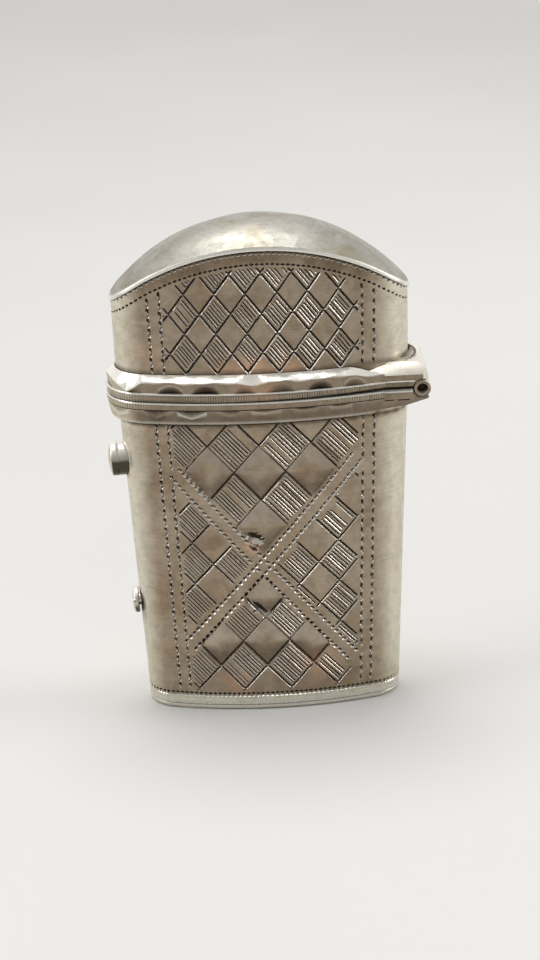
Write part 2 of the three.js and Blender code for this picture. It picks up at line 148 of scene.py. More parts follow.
def around(s, a, b, out=0.0):
    """Point and outward direction on the outline a by b, moved out, at a way s round it.

    The way starts at the hinge end and runs anticlockwise. It is true length on the sides, and
    what is left of each quarter is spread over the rounded end.
    """
    s = np.clip(np.asarray(s, float), 0, PERIMETER)
    end, side, meet = oval_parts(a, b)
    straight = side * (math.pi / 2 - meet)
    quadrant = np.clip((s // QUARTER).astype(int), 0, 3)
    within = s - quadrant * QUARTER
    off = np.where(quadrant % 2 == 0, QUARTER - within, within)
    on_side = off <= straight
    angle = np.where(on_side, math.pi / 2 - off / side,
                     meet * (1 - (off - straight) / (QUARTER - straight)))
    c, d = np.cos(angle), np.sin(angle)
    x = np.where(on_side, 0, a - end) + np.where(on_side, side, end) * c + out * c
    y = np.where(on_side, b - side, 0) + np.where(on_side, side, end) * d + out * d
    flip_x = np.where((quadrant == 0) | (quadrant == 3), 1, -1)
    flip_y = np.where(quadrant < 2, 1, -1)
    return x * flip_x, y * flip_y, c * flip_x, d * flip_y


def place(s, z, out=0.0):
    """Point of the wall at a way s round it and a height z, moved outwards by out, and its normal."""
    a, b = size_at(z)
    x, y, c, d = around(s, a, b, out)
    points = np.stack([x, y, np.broadcast_to(z, x.shape)], -1)
    lean = np.where(np.asarray(z) <= MOUTH,
                    (MOUTH_HALF_WIDTH - FOOT_HALF_WIDTH) / MOUTH * c * c
                    + (MOUTH_HALF_DEPTH - FOOT_HALF_DEPTH) / MOUTH * d * d,
                    (CREST_HALF_WIDTH - MOUTH_HALF_WIDTH) / (EAVES - MOUTH) * c * c
                    * (np.asarray(z) < EAVES))
    normals = np.stack([c, d, -lean], -1)
    normals /= np.linalg.norm(normals, axis=-1, keepdims=True)
    return points, normals


EAVES_HALF_CHORD = CREST_HALF_WIDTH + ROOF_OVERHANG
ARCH_RISE = ARCH - EAVES
ARCH_RADIUS = (EAVES_HALF_CHORD ** 2 + ARCH_RISE ** 2) / (2 * ARCH_RISE)


def arch_at(x):
    """Height of the roof's arched edge above a place along the width."""
    return ARCH - ARCH_RADIUS + np.sqrt(np.maximum(ARCH_RADIUS ** 2 - np.asarray(x) ** 2, 0))


def lid_top(s):
    """Height of the lid wall's top at a way round it."""
    points, _ = place(s, np.full(np.shape(s), EAVES))
    return arch_at(points[..., 0]) - ROOF_PLATE


def way_at(centre, x, z):
    """Way round the wall of a point x to the right of a face's centre, at a height z."""
    _, side, _ = oval_parts(*size_at(z))
    return centre + side * np.arcsin(np.clip(x / side, -1, 1))


def true_way(t, z):
    """Way round the wall of a true length t at a height z, and how much longer the way is there."""
    a, b = size_at(z)
    end, _, meet = oval_parts(a, b)
    straight = float(half_side(a, b))
    bend = float(end * meet)
    quarter = straight + bend
    quadrant, within = divmod(t, quarter)
    off = quarter - within if quadrant % 2 == 0 else within
    stretch = 1.0
    if off > straight:
        stretch = (QUARTER - straight) / bend
        off = straight + (off - straight) * stretch
    return quadrant * QUARTER + (QUARTER - off if quadrant % 2 == 0 else off), stretch


# Convex polygons in the plane of a face: x to the right, z up

SHORTEST_LINE = 0.25


def clip_polygon(polygon, point, inward):
    """The part of a convex polygon on the inward side of a line."""
    result = []
    for k, here in enumerate(polygon):
        before = polygon[k - 1]
        d_here = (here - point) @ inward
        d_before = (before - point) @ inward
        if (d_here >= 0) != (d_before >= 0):
            result.append(before + (here - before) * d_before / (d_before - d_here))
        if d_here >= 0:
            result.append(here)
    return result


def sides(polygon):
    """Each side's first point and inward normal, of an anticlockwise convex polygon."""
    rows = []
    for k, here in enumerate(polygon):
        run = polygon[(k + 1) % len(polygon)] - here
        length = np.linalg.norm(run)
        if length > 1e-6:
            rows.append((here, np.array([-run[1], run[0]]) / length))
    return rows


def meet_polygon(polygon, other):
    """The part of a convex polygon inside another."""
    for point, inward in sides(other):
        polygon = clip_polygon(polygon, point, inward)
        if len(polygon) < 3:
            return []
    return polygon


def inset(polygon, distance):
    """A convex polygon with its sides moved inwards."""
    result = polygon
    for point, inward in sides(polygon):
        result = clip_polygon(result, point + inward * distance, inward)
        if len(result) < 3:
            return []
    return result


def cut_line(point, direction, polygon):
    """The stretch of a line inside a convex polygon, as two points, or nothing."""
    low, high = -1e9, 1e9
    for corner, inward in sides(polygon):
        rate = direction @ inward
        start = (corner - point) @ inward
        if abs(rate) < 1e-9:
            if start > 0:
                return None
        elif rate > 0:
            low = max(low, start / rate)
        else:
            high = min(high, start / rate)
    if high - low < SHORTEST_LINE:
        return None
    return point + direction * low, point + direction * high


def runs_along(line, direction, borders):
    """Whether a line lies close beside one of a region's borders."""
    middle = (line[0] + line[1]) / 2
    return any(abs(direction @ inward) < 0.15 and (middle - point) @ inward < 0.75
               for point, inward in borders)


def area_of(polygon):
    if len(polygon) < 3:
        return 0.0
    p = np.array(polygon)
    q = np.roll(p, -1, 0)
    return 0.5 * abs(float(np.sum(p[:, 0] * q[:, 1] - q[:, 0] * p[:, 1])))


# Engraving: what is cut into a wall, in the plane (way round, height)

PIT_CORNERS = 8
DENT_CORNERS = 12
DENT_RINGS = (1.0, 0.72, 0.44, 0.16)
PILLOW_RINGS = (0.22, 0.5, 0.85, 1.2, 1.6, 2.1)


class Engraving:
    """Grooves, pits and pillowed cells, with the points and edges that a mesh of them needs."""

    def __init__(self):
        self.points = []
        self.edges = []
        self.fixed = {}
        self.grooves = []
        self.pits = []
        self.pillows = []
        self.dents = []

    def add_point(self, point, height=None):
        self.points.append((float(point[0]), float(point[1])))
        if height is not None:
            self.fixed[len(self.points) - 1] = height
        return len(self.points) - 1

    def add_path(self, points, closed=False):
        rows = [self.add_point(p) for p in points]
        pairs = list(zip(rows, rows[1:]))
        if closed:
            pairs.append((rows[-1], rows[0]))
        self.edges += pairs
        return rows

    def groove(self, start, end, width, depth, taper=0.3, step=2.0, lean=0.35):
        """A V-shaped cut from start to end that runs out to a point at both ends.

        lean moves its bottom towards its lower side, in half widths.
        """
        run = end - start
        length = float(np.linalg.norm(run))
        if length < 0.3:
            return
        along = run / length
        across = np.array([-along[1], along[0]]) * width / 2
        if across[1] < 0:
            across = -across
        taper = min(taper, length * 0.3)
        count = max(1, math.ceil((length - 2 * taper) / step))
        stations = [taper + (length - 2 * taper) * k / count for k in range(count + 1)]
        middle = [start] + [start + along * t - across * lean for t in stations] + [end]
        rows = self.add_path(middle)
        for side in (across, -across):
            rail = [self.add_point(start + along * t + side) for t in stations]
            chain = [rows[0]] + rail + [rows[-1]]
            self.edges += list(zip(chain, chain[1:]))
        self.grooves.append((*start, *along, length, width / 2, depth, taper, lean))

    def pit(self, centre, along, length, width, depth, deep):
        """A lens-shaped pit. deep moves its lowest point along it and across it, in half sizes."""
        for x, z, reach in self.pits[-400:]:
            apart = math.hypot(x - centre[0], z - centre[1])
            if abs(x - centre[0]) < 2 and apart < (reach + length / 2) * 0.8:
                return
        along = along / np.linalg.norm(along)
        across = np.array([-along[1], along[0]])
        ring = []
        for k in range(PIT_CORNERS):
            turn = 2 * math.pi * k / PIT_CORNERS
            wide = math.copysign(abs(math.sin(turn)) ** 1.3, math.sin(turn))
            ring.append(centre + along * math.cos(turn) * length / 2 + across * wide * width / 2)
        self.add_path(ring, closed=True)
        low = centre + along * deep[0] * length / 2 + across * deep[1] * width / 2
        half = along * length * 0.2
        first = self.add_point(low - half, -depth)
        second = self.add_point(low + half, -depth)
        self.edges.append((first, second))
        self.pits.append((centre[0], centre[1], length / 2))

    def dent(self, centre, turn, length, width, depth):
        """A knock: an oval hollow, or a low bump where depth is negative."""
        along = np.array([math.cos(turn), math.sin(turn)])
        across = np.array([-along[1], along[0]])
        for share in DENT_RINGS:
            for k in range(DENT_CORNERS):
                angle = 2 * math.pi * (k + share) / DENT_CORNERS
                self.add_point(centre + along * math.cos(angle) * share * length / 2
                               + across * math.sin(angle) * share * width / 2)
        self.dents.append((centre, along, across, length / 2, width / 2, depth))

    def dent_depth(self, s, z):
        """Depth of the dents at each point."""
        total = np.zeros(len(s))
        for centre, along, across, half, wide, depth in self.dents:
            far = ((s - centre[0]) * along[0] + (z - centre[1]) * along[1]) / half
            off = ((s - centre[0]) * across[0] + (z - centre[1]) * across[1]) / wide
            total += depth * np.clip(1 - np.hypot(far, off), 0, 1)
        return total

    def pillow(self, polygon, depth, width):
        """A cell whose middle stands up and whose borders fall away."""
        if area_of(polygon) < 1.0:
            return
        self.pillows.append((sides(polygon), depth, width))
        for distance in PILLOW_RINGS:
            ring = inset(polygon, distance)
            if area_of(ring) < 0.05:
                break
            for k, corner in enumerate(ring):
                run = ring[(k + 1) % len(ring)] - corner
                length = np.linalg.norm(run)
                steps = max(1, int(length / 0.45))
                for i in range(steps):
                    self.add_point(corner + run * i / steps)

    def groove_depth(self, s, z):
        """Depth of the grooves at each point, and how far across the groove the point lies."""
        depth = np.zeros(len(s))
        share = np.zeros(len(s))
        order = np.argsort(s)
        sorted_s = s[order]
        for x0, z0, ax, az, length, half, full, taper, lean in self.grooves:
            x1 = x0 + ax * length
            low = np.searchsorted(sorted_s, min(x0, x1) - half - 1e-6)
            high = np.searchsorted(sorted_s, max(x0, x1) + half + 1e-6)
            rows = order[low:high]
            dx, dz = s[rows] - x0, z[rows] - z0
            t = dx * ax + dz * az
            off = (dx * -az + dz * ax) * (1 if ax > 0 else -1) / half + lean
            off = np.where(off > 0, off / (1 + lean), -off / (1 - lean))
            ends = np.clip(np.minimum(t, length - t) / taper, 0, 1)
            value = full * np.clip(1 - off / np.maximum(ends, 1e-6), 0, 1) * ends
            better = value > depth[rows]
            depth[rows[better]] = value[better]
            share[rows[better]] = value[better] / full
        return depth, share

    def pillow_height(self, s, z):
        """How far the pillowed cells fall below the wall's face at each point."""
        height = np.zeros(len(s))
        for rows, depth, width in self.pillows:
            distances = [(s - p[0]) * n[0] + (z - p[1]) * n[1] for p, n in rows]
            inside = np.min(distances, axis=0) > -0.11
            if not inside.any():
                continue
            keep = np.ones(inside.sum())
            for d in distances:
                fall = np.clip(1 - d[inside] / width, 0, 1) ** 2
                keep *= 1 - fall
            nearest = np.clip(np.min(distances, axis=0)[inside] / width, 0, 1)
            hipped = np.sin(nearest * math.pi / 2)
            height[inside] = -depth * (1 - 0.45 * keep - 0.55 * hipped)
        return height

    def near(self, s, z, margin):
        """Which points lie within a margin of a groove or inside a pit."""
        hit = np.zeros(len(s), bool)
        for x0, z0, ax, az, length, half, _, _, _ in self.grooves:
            dx, dz = s - x0, z - z0
            t = dx * ax + dz * az
            off = np.abs(dx * -az + dz * ax)
            hit |= (t > -margin) & (t < length + margin) & (off < half + margin)
        for x, y, reach in self.pits:
            hit |= (np.abs(s - x) < reach + margin) & (np.abs(z - y) < reach + margin)
        return hit


# The pattern on a face

LINE_WIDTH = 0.35
LINE_DEPTH = 0.14
CHEVRON_WIDTH = 0.32
PILLOW_DEPTH = 0.34
PILLOW_WIDTH = 2.2
HATCH_PITCH = 0.43
HATCH_WIDTH = 0.28
HATCH_DEPTH = 0.085
LINK_SLANT = 0.17
CELL_MARGIN = 0.12
LATTICE_REACH = 12


class Face:
    """A face of the case, which turns places on it, x to the right and z up, into the wall's plane."""

    def __init__(self, engraving, centre):
        self.engraving = engraving
        self.centre = centre

    def at(self, p):
        """A place on the face as (way round, height)."""
        return np.array([float(way_at(self.centre, p[0], p[1])), float(p[1])])

    def line(self, start, end, width=LINE_WIDTH, depth=LINE_DEPTH, taper=0.3):
        self.engraving.groove(self.at(start), self.at(end), width, depth, taper)

    def dots(self, start, end, pitch, length, width, depth, deep, turn=0.0, swing=0.0, linked=False):
        """A row of pits between two places, each turned a little from the row.

        linked joins each pit to the next with a short slanting cut, as in a rope line.
        """
        first, last = self.at(start), self.at(end)
        run = last - first
        total = float(np.linalg.norm(run))
        along = run / total
        count = max(1, round(total / pitch))
        for k in range(count):
            share = (k + 0.5) / count
            wobble = np.array([rng.uniform(-1, 1), rng.uniform(-1, 1)]) * 0.03
            angle = turn + rng.uniform(-swing, swing)
            direction = np.array([along[0] * math.cos(angle) - along[1] * math.sin(angle),
                                  along[0] * math.sin(angle) + along[1] * math.cos(angle)])
            size = rng.uniform(0.9, 1.08)
            self.engraving.pit(first + run * share + wobble, direction, length * size,
                               width * rng.uniform(0.88, 1.1), depth, deep)
            if linked and k < count - 1:
                upper = first + run * (share + 0.24 / count) + np.array([LINK_SLANT, 0.0])
                lower = first + run * (share + 0.76 / count) + np.array([0.03, 0.0])
                self.engraving.groove(lower, upper, 0.3 * rng.uniform(0.8, 1.15), 0.11, 0.25, 2.0, -0.75)

    def hatch(self, polygon, direction):
        """Lines across a cell, a little uneven in place and length, as a hand cuts them."""
        across = np.array([-direction[1], direction[0]])
        reaches = [p @ across for p in polygon]
        low, high = min(reaches), max(reaches)
        count = round((high - low) / HATCH_PITCH)
        for k in range(1, count):
            if rng.random() < 0.04:
                continue
            offset = low + (high - low) * k / count + rng.uniform(-0.05, 0.05)
            found = cut_line(across * offset, direction, polygon)
            if found is None:
                continue
            start, end = found
            length = np.linalg.norm(end - start)
            start = start + direction * rng.uniform(-0.02, 0.09) * min(length, 3)
            end = end - direction * rng.uniform(-0.03, 0.04) * min(length, 3)
            width = HATCH_WIDTH * rng.uniform(0.75, 1.05)
            depth = HATCH_DEPTH * rng.uniform(0.7, 1.15)
            self.line(start, end, width, depth, 0.25)

    def lattice(self, region, origin, pitch_x, pitch_z, hatched, pillowed, chevrons=False):
        """Diamonds inside a convex region, hatched and plain by turns.

        hatched is 0 or 1, for cells whose two numbers add up to an even or an odd number.
        chevrons puts two short lines into the plain cells along the region's top.
        """
        half = np.array([pitch_x / 2, pitch_z / 2])
        rise = half / np.linalg.norm(half)
        fall = np.array([half[0], -half[1]]) / np.linalg.norm(half)
        lines = inset(region, CELL_MARGIN)
        borders = sides(region)
        numbers = range(-LATTICE_REACH, LATTICE_REACH + 1)
        for k in numbers:
            start = np.array([origin[0] + k * pitch_x, origin[1]])
            for direction in (rise, fall):
                found = cut_line(start, direction, lines)
                if found is not None and not runs_along(found, direction, borders):
                    sway = np.array([rng.uniform(-0.06, 0.06), 0])
                    self.line(found[0] + sway, found[1] + sway, LINE_WIDTH * rng.uniform(0.85, 1.15))
        for i in numbers:
            for j in numbers:
                centre = np.array([origin[0] + (i + j + 1) * half[0], origin[1] + (i - j) * half[1]])
                cell = [centre + np.array(v) * half for v in ((-1, 0), (0, -1), (1, 0), (0, 1))]
                clipped = meet_polygon(cell, region)
                if area_of(clipped) < 0.6:
                    continue
                dark = (i + j) % 2 == hatched
                if dark:
                    inner = inset(clipped, CELL_MARGIN)
                    if area_of(inner) > 0.3:
                        self.hatch(inner, fall)
                elif pillowed and area_of(clipped) > 0.66 * area_of(cell):
                    self.pillow(clipped)
                if chevrons and centre[1] > FIELD_HIGH - 1.2 and not dark:
                    self.chevron(inset(clipped, 0.5), rise)

    def chevron(self, cell, rise):
        """Two lines that rise from a cell's lowest corner."""
        if len(cell) < 3:
            return
        low = min(cell, key=lambda p: p[1])
        for direction in (rise, np.array([-rise[0], rise[1]])):
            found = cut_line(low + direction * 0.01, direction, cell)
            if found is not None:
                self.line(*found, CHEVRON_WIDTH, LINE_DEPTH)

    def pillow(self, polygon):
        self.engraving.pillow([self.at(p) for p in polygon], PILLOW_DEPTH, PILLOW_WIDTH)


def half_plane(polygon, start, end):
    """Keeps what lies to the left of the way from start to end."""
    start, end = np.array(start, float), np.array(end, float)
    run = end - start
    inward = np.array([-run[1], run[0]]) / np.linalg.norm(run)
    return clip_polygon(polygon, start, inward)


# Fields and borders: on the body, four fields round two dotted bands that cross

FIELD_LOW = 2.6
FIELD_HIGH = MOUTH - BODY_MOUNT_HEIGHT + 0.2
BAND_A = ((-12.3, 34.55), (10.7, 6.85))
BAND_B = ((-11.4, 9.3), (12.0, 35.7))
BAND_HALF = 0.78
INNER_LINE = 12.9
OUTER_LINE = 14.4
FIELD_EDGE = 0.3
LID_SIDE_SHIFT = 0.15
LID_FIELD_LOW = MOUTH + LID_MOUNT_HEIGHT - 0.2
UPPER_ARCH_LINE = 0.33
LOWER_ARCH_LINE = 1.72
BORDER_PITCH = 1.33
BORDER_WIDTH = 0.46
BORDER_DEPTH = 0.24
INNER_DOT = 1.22
OUTER_DOT = 1.08
BASE_DOTS = 2.42
BASE_LINES = 2.04
FOOT_DOTS = 1.15


def side_line(x, z):
    """A place x to the right at the mouth, which moves in with the case towards the foot."""
    a, _ = size_at(z)
    return np.array([x * float(a) / MOUTH_HALF_WIDTH, z])


def shifted(line, distance):
    """A line moved to its left."""
    start, end = (np.array(p, float) for p in line)
    run = end - start
    across = np.array([-run[1], run[0]]) / np.linalg.norm(run)
    return start + across * distance, end + across * distance


def engrave_body(engraving, centre):
    """The four fields, the two bands that cross between them, and the rope lines at the sides."""
    face = Face(engraving, centre)
    side = INNER_LINE - FIELD_EDGE
    full = [side_line(-side, FIELD_LOW), side_line(side, FIELD_LOW),
            side_line(side, FIELD_HIGH), side_line(-side, FIELD_HIGH)]
    clear = BAND_HALF + 0.22
    above_a = shifted(BAND_A, clear)
    below_a = shifted(BAND_A, -clear)
    above_b = shifted(BAND_B, clear)
    below_b = shifted(BAND_B, -clear)
    top = half_plane(half_plane(full, *above_a), *above_b)
    bottom = half_plane(half_plane(full, below_a[1], below_a[0]), below_b[1], below_b[0])
    left = half_plane(half_plane(full, below_a[1], below_a[0]), *above_b)
    right = half_plane(half_plane(full, *above_a), below_b[1], below_b[0])

    face.lattice(top, (-0.95, 38.1), 6.8, 7.6, 0, True, chevrons=True)
    face.lattice(bottom, (-1.0, 13.55), 6.25, 7.0, 0, True)
    face.lattice(left, (-7.6, 21.5), 5.35, 5.9, 0, False)
    face.lattice(right, (6.35, 21.2), 5.35, 5.9, 0, False)
    for line in (BAND_B, BAND_A):
        for distance in (BAND_HALF, -BAND_HALF):
            start, end = shifted(line, distance)
            face.dots(start, end, 0.82, 0.78, 0.52, 0.2, (0.1, 0.0), 0.3, 0.1)
    for side in (-1, 1):
        for x, above, length, deep, turn, swing in ((INNER_LINE, 0.4, INNER_DOT, (0.1, 0.4), 0.06, 0.05),
                                                    (OUTER_LINE, 0.2, OUTER_DOT, (0.15, 0.4), 0.08, 0.06)):
            high = side_line(side * x, FIELD_HIGH + above)
            low = side_line(side * x, FIELD_LOW + 0.3)
            face.dots(high, low, BORDER_PITCH, length, BORDER_WIDTH, BORDER_DEPTH, deep, turn, swing, True)


def engrave_lid(engraving, centre):
    """The field under the arch and the rope lines at its sides."""
    face = Face(engraving, centre)
    side = INNER_LINE + LID_SIDE_SHIFT - FIELD_EDGE
    corners = [side_line(-side, LID_FIELD_LOW), side_line(side, LID_FIELD_LOW)]
    steps = 10
    for k in range(steps + 1):
        x = side * (1 - 2 * k / steps)
        corners.append(np.array([x, float(arch_at(x)) - ROOF_PLATE - LOWER_ARCH_LINE - 0.2]))
    face.lattice(corners, (-1.95, 58.75), 3.98, 5.3, 1, False)
    for sign in (-1, 1):
        for distance, length in ((INNER_LINE + LID_SIDE_SHIFT, INNER_DOT), (OUTER_LINE + 0.2, OUTER_DOT)):
            x = sign * distance
            high = (x, float(arch_at(x)) - ROOF_PLATE - LOWER_ARCH_LINE - 0.25)
            low = (x * 0.985, LID_FIELD_LOW + 0.1)
            face.dots(high, low, BORDER_PITCH, length, BORDER_WIDTH, BORDER_DEPTH,
                      (0.13, 0.4), 0.07, 0.05, True)


def ring_of_dots(engraving, height_at, pitch, length, width, depth, deep):
    """Dots all the way round at a height that may change with the way round."""
    a, b = size_at(float(height_at(FRONT_CENTRE)))
    end, _, meet = oval_parts(a, b)
    total = 4 * float(half_side(a, b) + end * meet)
    count = round(total / pitch)
    for k in range(count):
        s, stretch = true_way((k + 0.5) * total / count, float(height_at(FRONT_CENTRE)))
        rise = float(height_at(s + 0.05) - height_at(s - 0.05)) / 0.1
        angle = math.atan(rise) + rng.uniform(-0.08, 0.08)
        direction = np.array([math.cos(angle), math.sin(angle)])
        spot = np.array([s, float(height_at(s)) + rng.uniform(-0.02, 0.02)])
        engraving.pit(spot, direction, length * stretch * rng.uniform(0.9, 1.05), width, depth, deep)


def ring_of_lines(engraving, height_at, pitch, width, depth):
    """A chain of short cuts all the way round, each with a wide lower side that catches the light."""
    for s in np.arange(0.5, PERIMETER - 0.5 - pitch, pitch):
        ends = [np.array([t, float(height_at(t))]) for t in (s, s + pitch * 0.97)]
        engraving.groove(ends[0], ends[1], width * rng.uniform(0.85, 1.1), depth, 0.16, 2.0, -0.6)


# Meshes


def in_scene(name, data):
    """A new object in the scene."""
    thing = bpy.data.objects.new(name, data)
    bpy.context.scene.collection.objects.link(thing)
    return thing


def new_object(name, vertices, faces, body, nodes, material, corner_normals=None,
               corners=None, points=None, sharp=None):
    """A piece from vertices in millimetres, which rides on a body and replaces nodes of the frame.

    corners and points are numbers, by name, for each face corner and each vertex.
    """
    mesh = bpy.data.meshes.new(name)
    mesh.from_pydata((np.asarray(vertices, float) * MM).tolist(), [], faces)
    mesh.validate(verbose=False)
    for polygon in mesh.polygons:
        polygon.use_smooth = True
    if sharp is not None:
        mesh.set_sharp_from_angle(angle=math.radians(sharp))
    for domain, numbers in (("CORNER", corners), ("POINT", points)):
        for key, values in (numbers or {}).items():
            layer = mesh.attributes.new(key, "FLOAT", domain)
            layer.data.foreach_set("value", np.asarray(values, np.float32))
    if corner_normals is not None:
        mesh.normals_split_custom_set(np.asarray(corner_normals, float).tolist())
    mesh.materials.append(material)
    thing = in_scene(name, mesh)
    if body is not None:
        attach(thing, body)
    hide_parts(*nodes)
    return thing


def lists_of(bm):
    """The points and the faces of a mesh."""
    bm.verts.index_update()
    return [tuple(v.co) for v in bm.verts], [tuple(v.index for v in f.verts) for f in bm.faces]


def spaced(low, high, step):
    """Numbers from low to high, at most a step apart."""
    count = max(1, math.ceil((high - low) / step))
    return [low + (high - low) * k / count for k in range(count + 1)]


WALL_GRID = 0.85
BEND_STEP = 0.42
SIDE_STEP = 0.8
STRAIGHT_REACH = 13.8
SAME = 1e-5
ENGRAVING_MARGIN = 0.12
END_MARGIN = 0.3

# How light is painted on a cut: painted shade where its faces look down, painted highlights where they
# look up or to the left

FACING_GAIN = 3.0
LEFT_SHARE = 0.45
PIT_DARKNESS = 0.9
GROOVE_DARKNESS = 0.6
PIT_HIGHLIGHT = 0.95
GROOVE_HIGHLIGHT = 0.85
PLAIN_DARKNESS = 0.15
BASE_BAND_TOP = 1.75
BASE_BAND_HIGHLIGHT = 0.55


def bent(s):
    """Whether a way lies on a rounded end."""
    return abs((s + QUARTER) % (2 * QUARTER) - QUARTER) <= QUARTER - STRAIGHT_REACH


def within_reach(s, z, hole):
    """Which points lie in the box round a hole or close beside it."""
    points = np.array(hole)
    middle = points.mean(0)
    reach = np.abs(points - middle).max(0) + 0.1
    return (np.abs(s - middle[0]) < reach[0]) & (np.abs(z - middle[1]) < reach[1])


def triangulate(points, edges, loops):
    """Triangles over points, with the edges kept and the loops left open.

    Also gives each point's number among the new ones.
    """
    rows = [Vector(p) for p in points]
    verts, _, faces, orig, _, _ = delaunay_2d_cdt(rows, edges, [], 1, SAME)
    found = {old: new for new, olds in enumerate(orig) for old in olds}
    plane = np.array([tuple(v) for v in verts])
    faces = [tuple(f) for f in faces]
    kept = [f for f in faces if not any(point_in(plane[list(f)].mean(0), loop) for loop in loops)]
    return plane, kept, found


def seam_pairs(plane, offset):
    """The points at the last way that lie where points at the first way do, as pairs of numbers."""
    first = {round(v[1], 5): k for k, v in enumerate(plane) if abs(v[0]) < SAME}
    return {k + offset: first[round(v[1], 5)] + offset for k, v in enumerate(plane)
            if abs(v[0] - PERIMETER) < SAME and round(v[1], 5) in first}


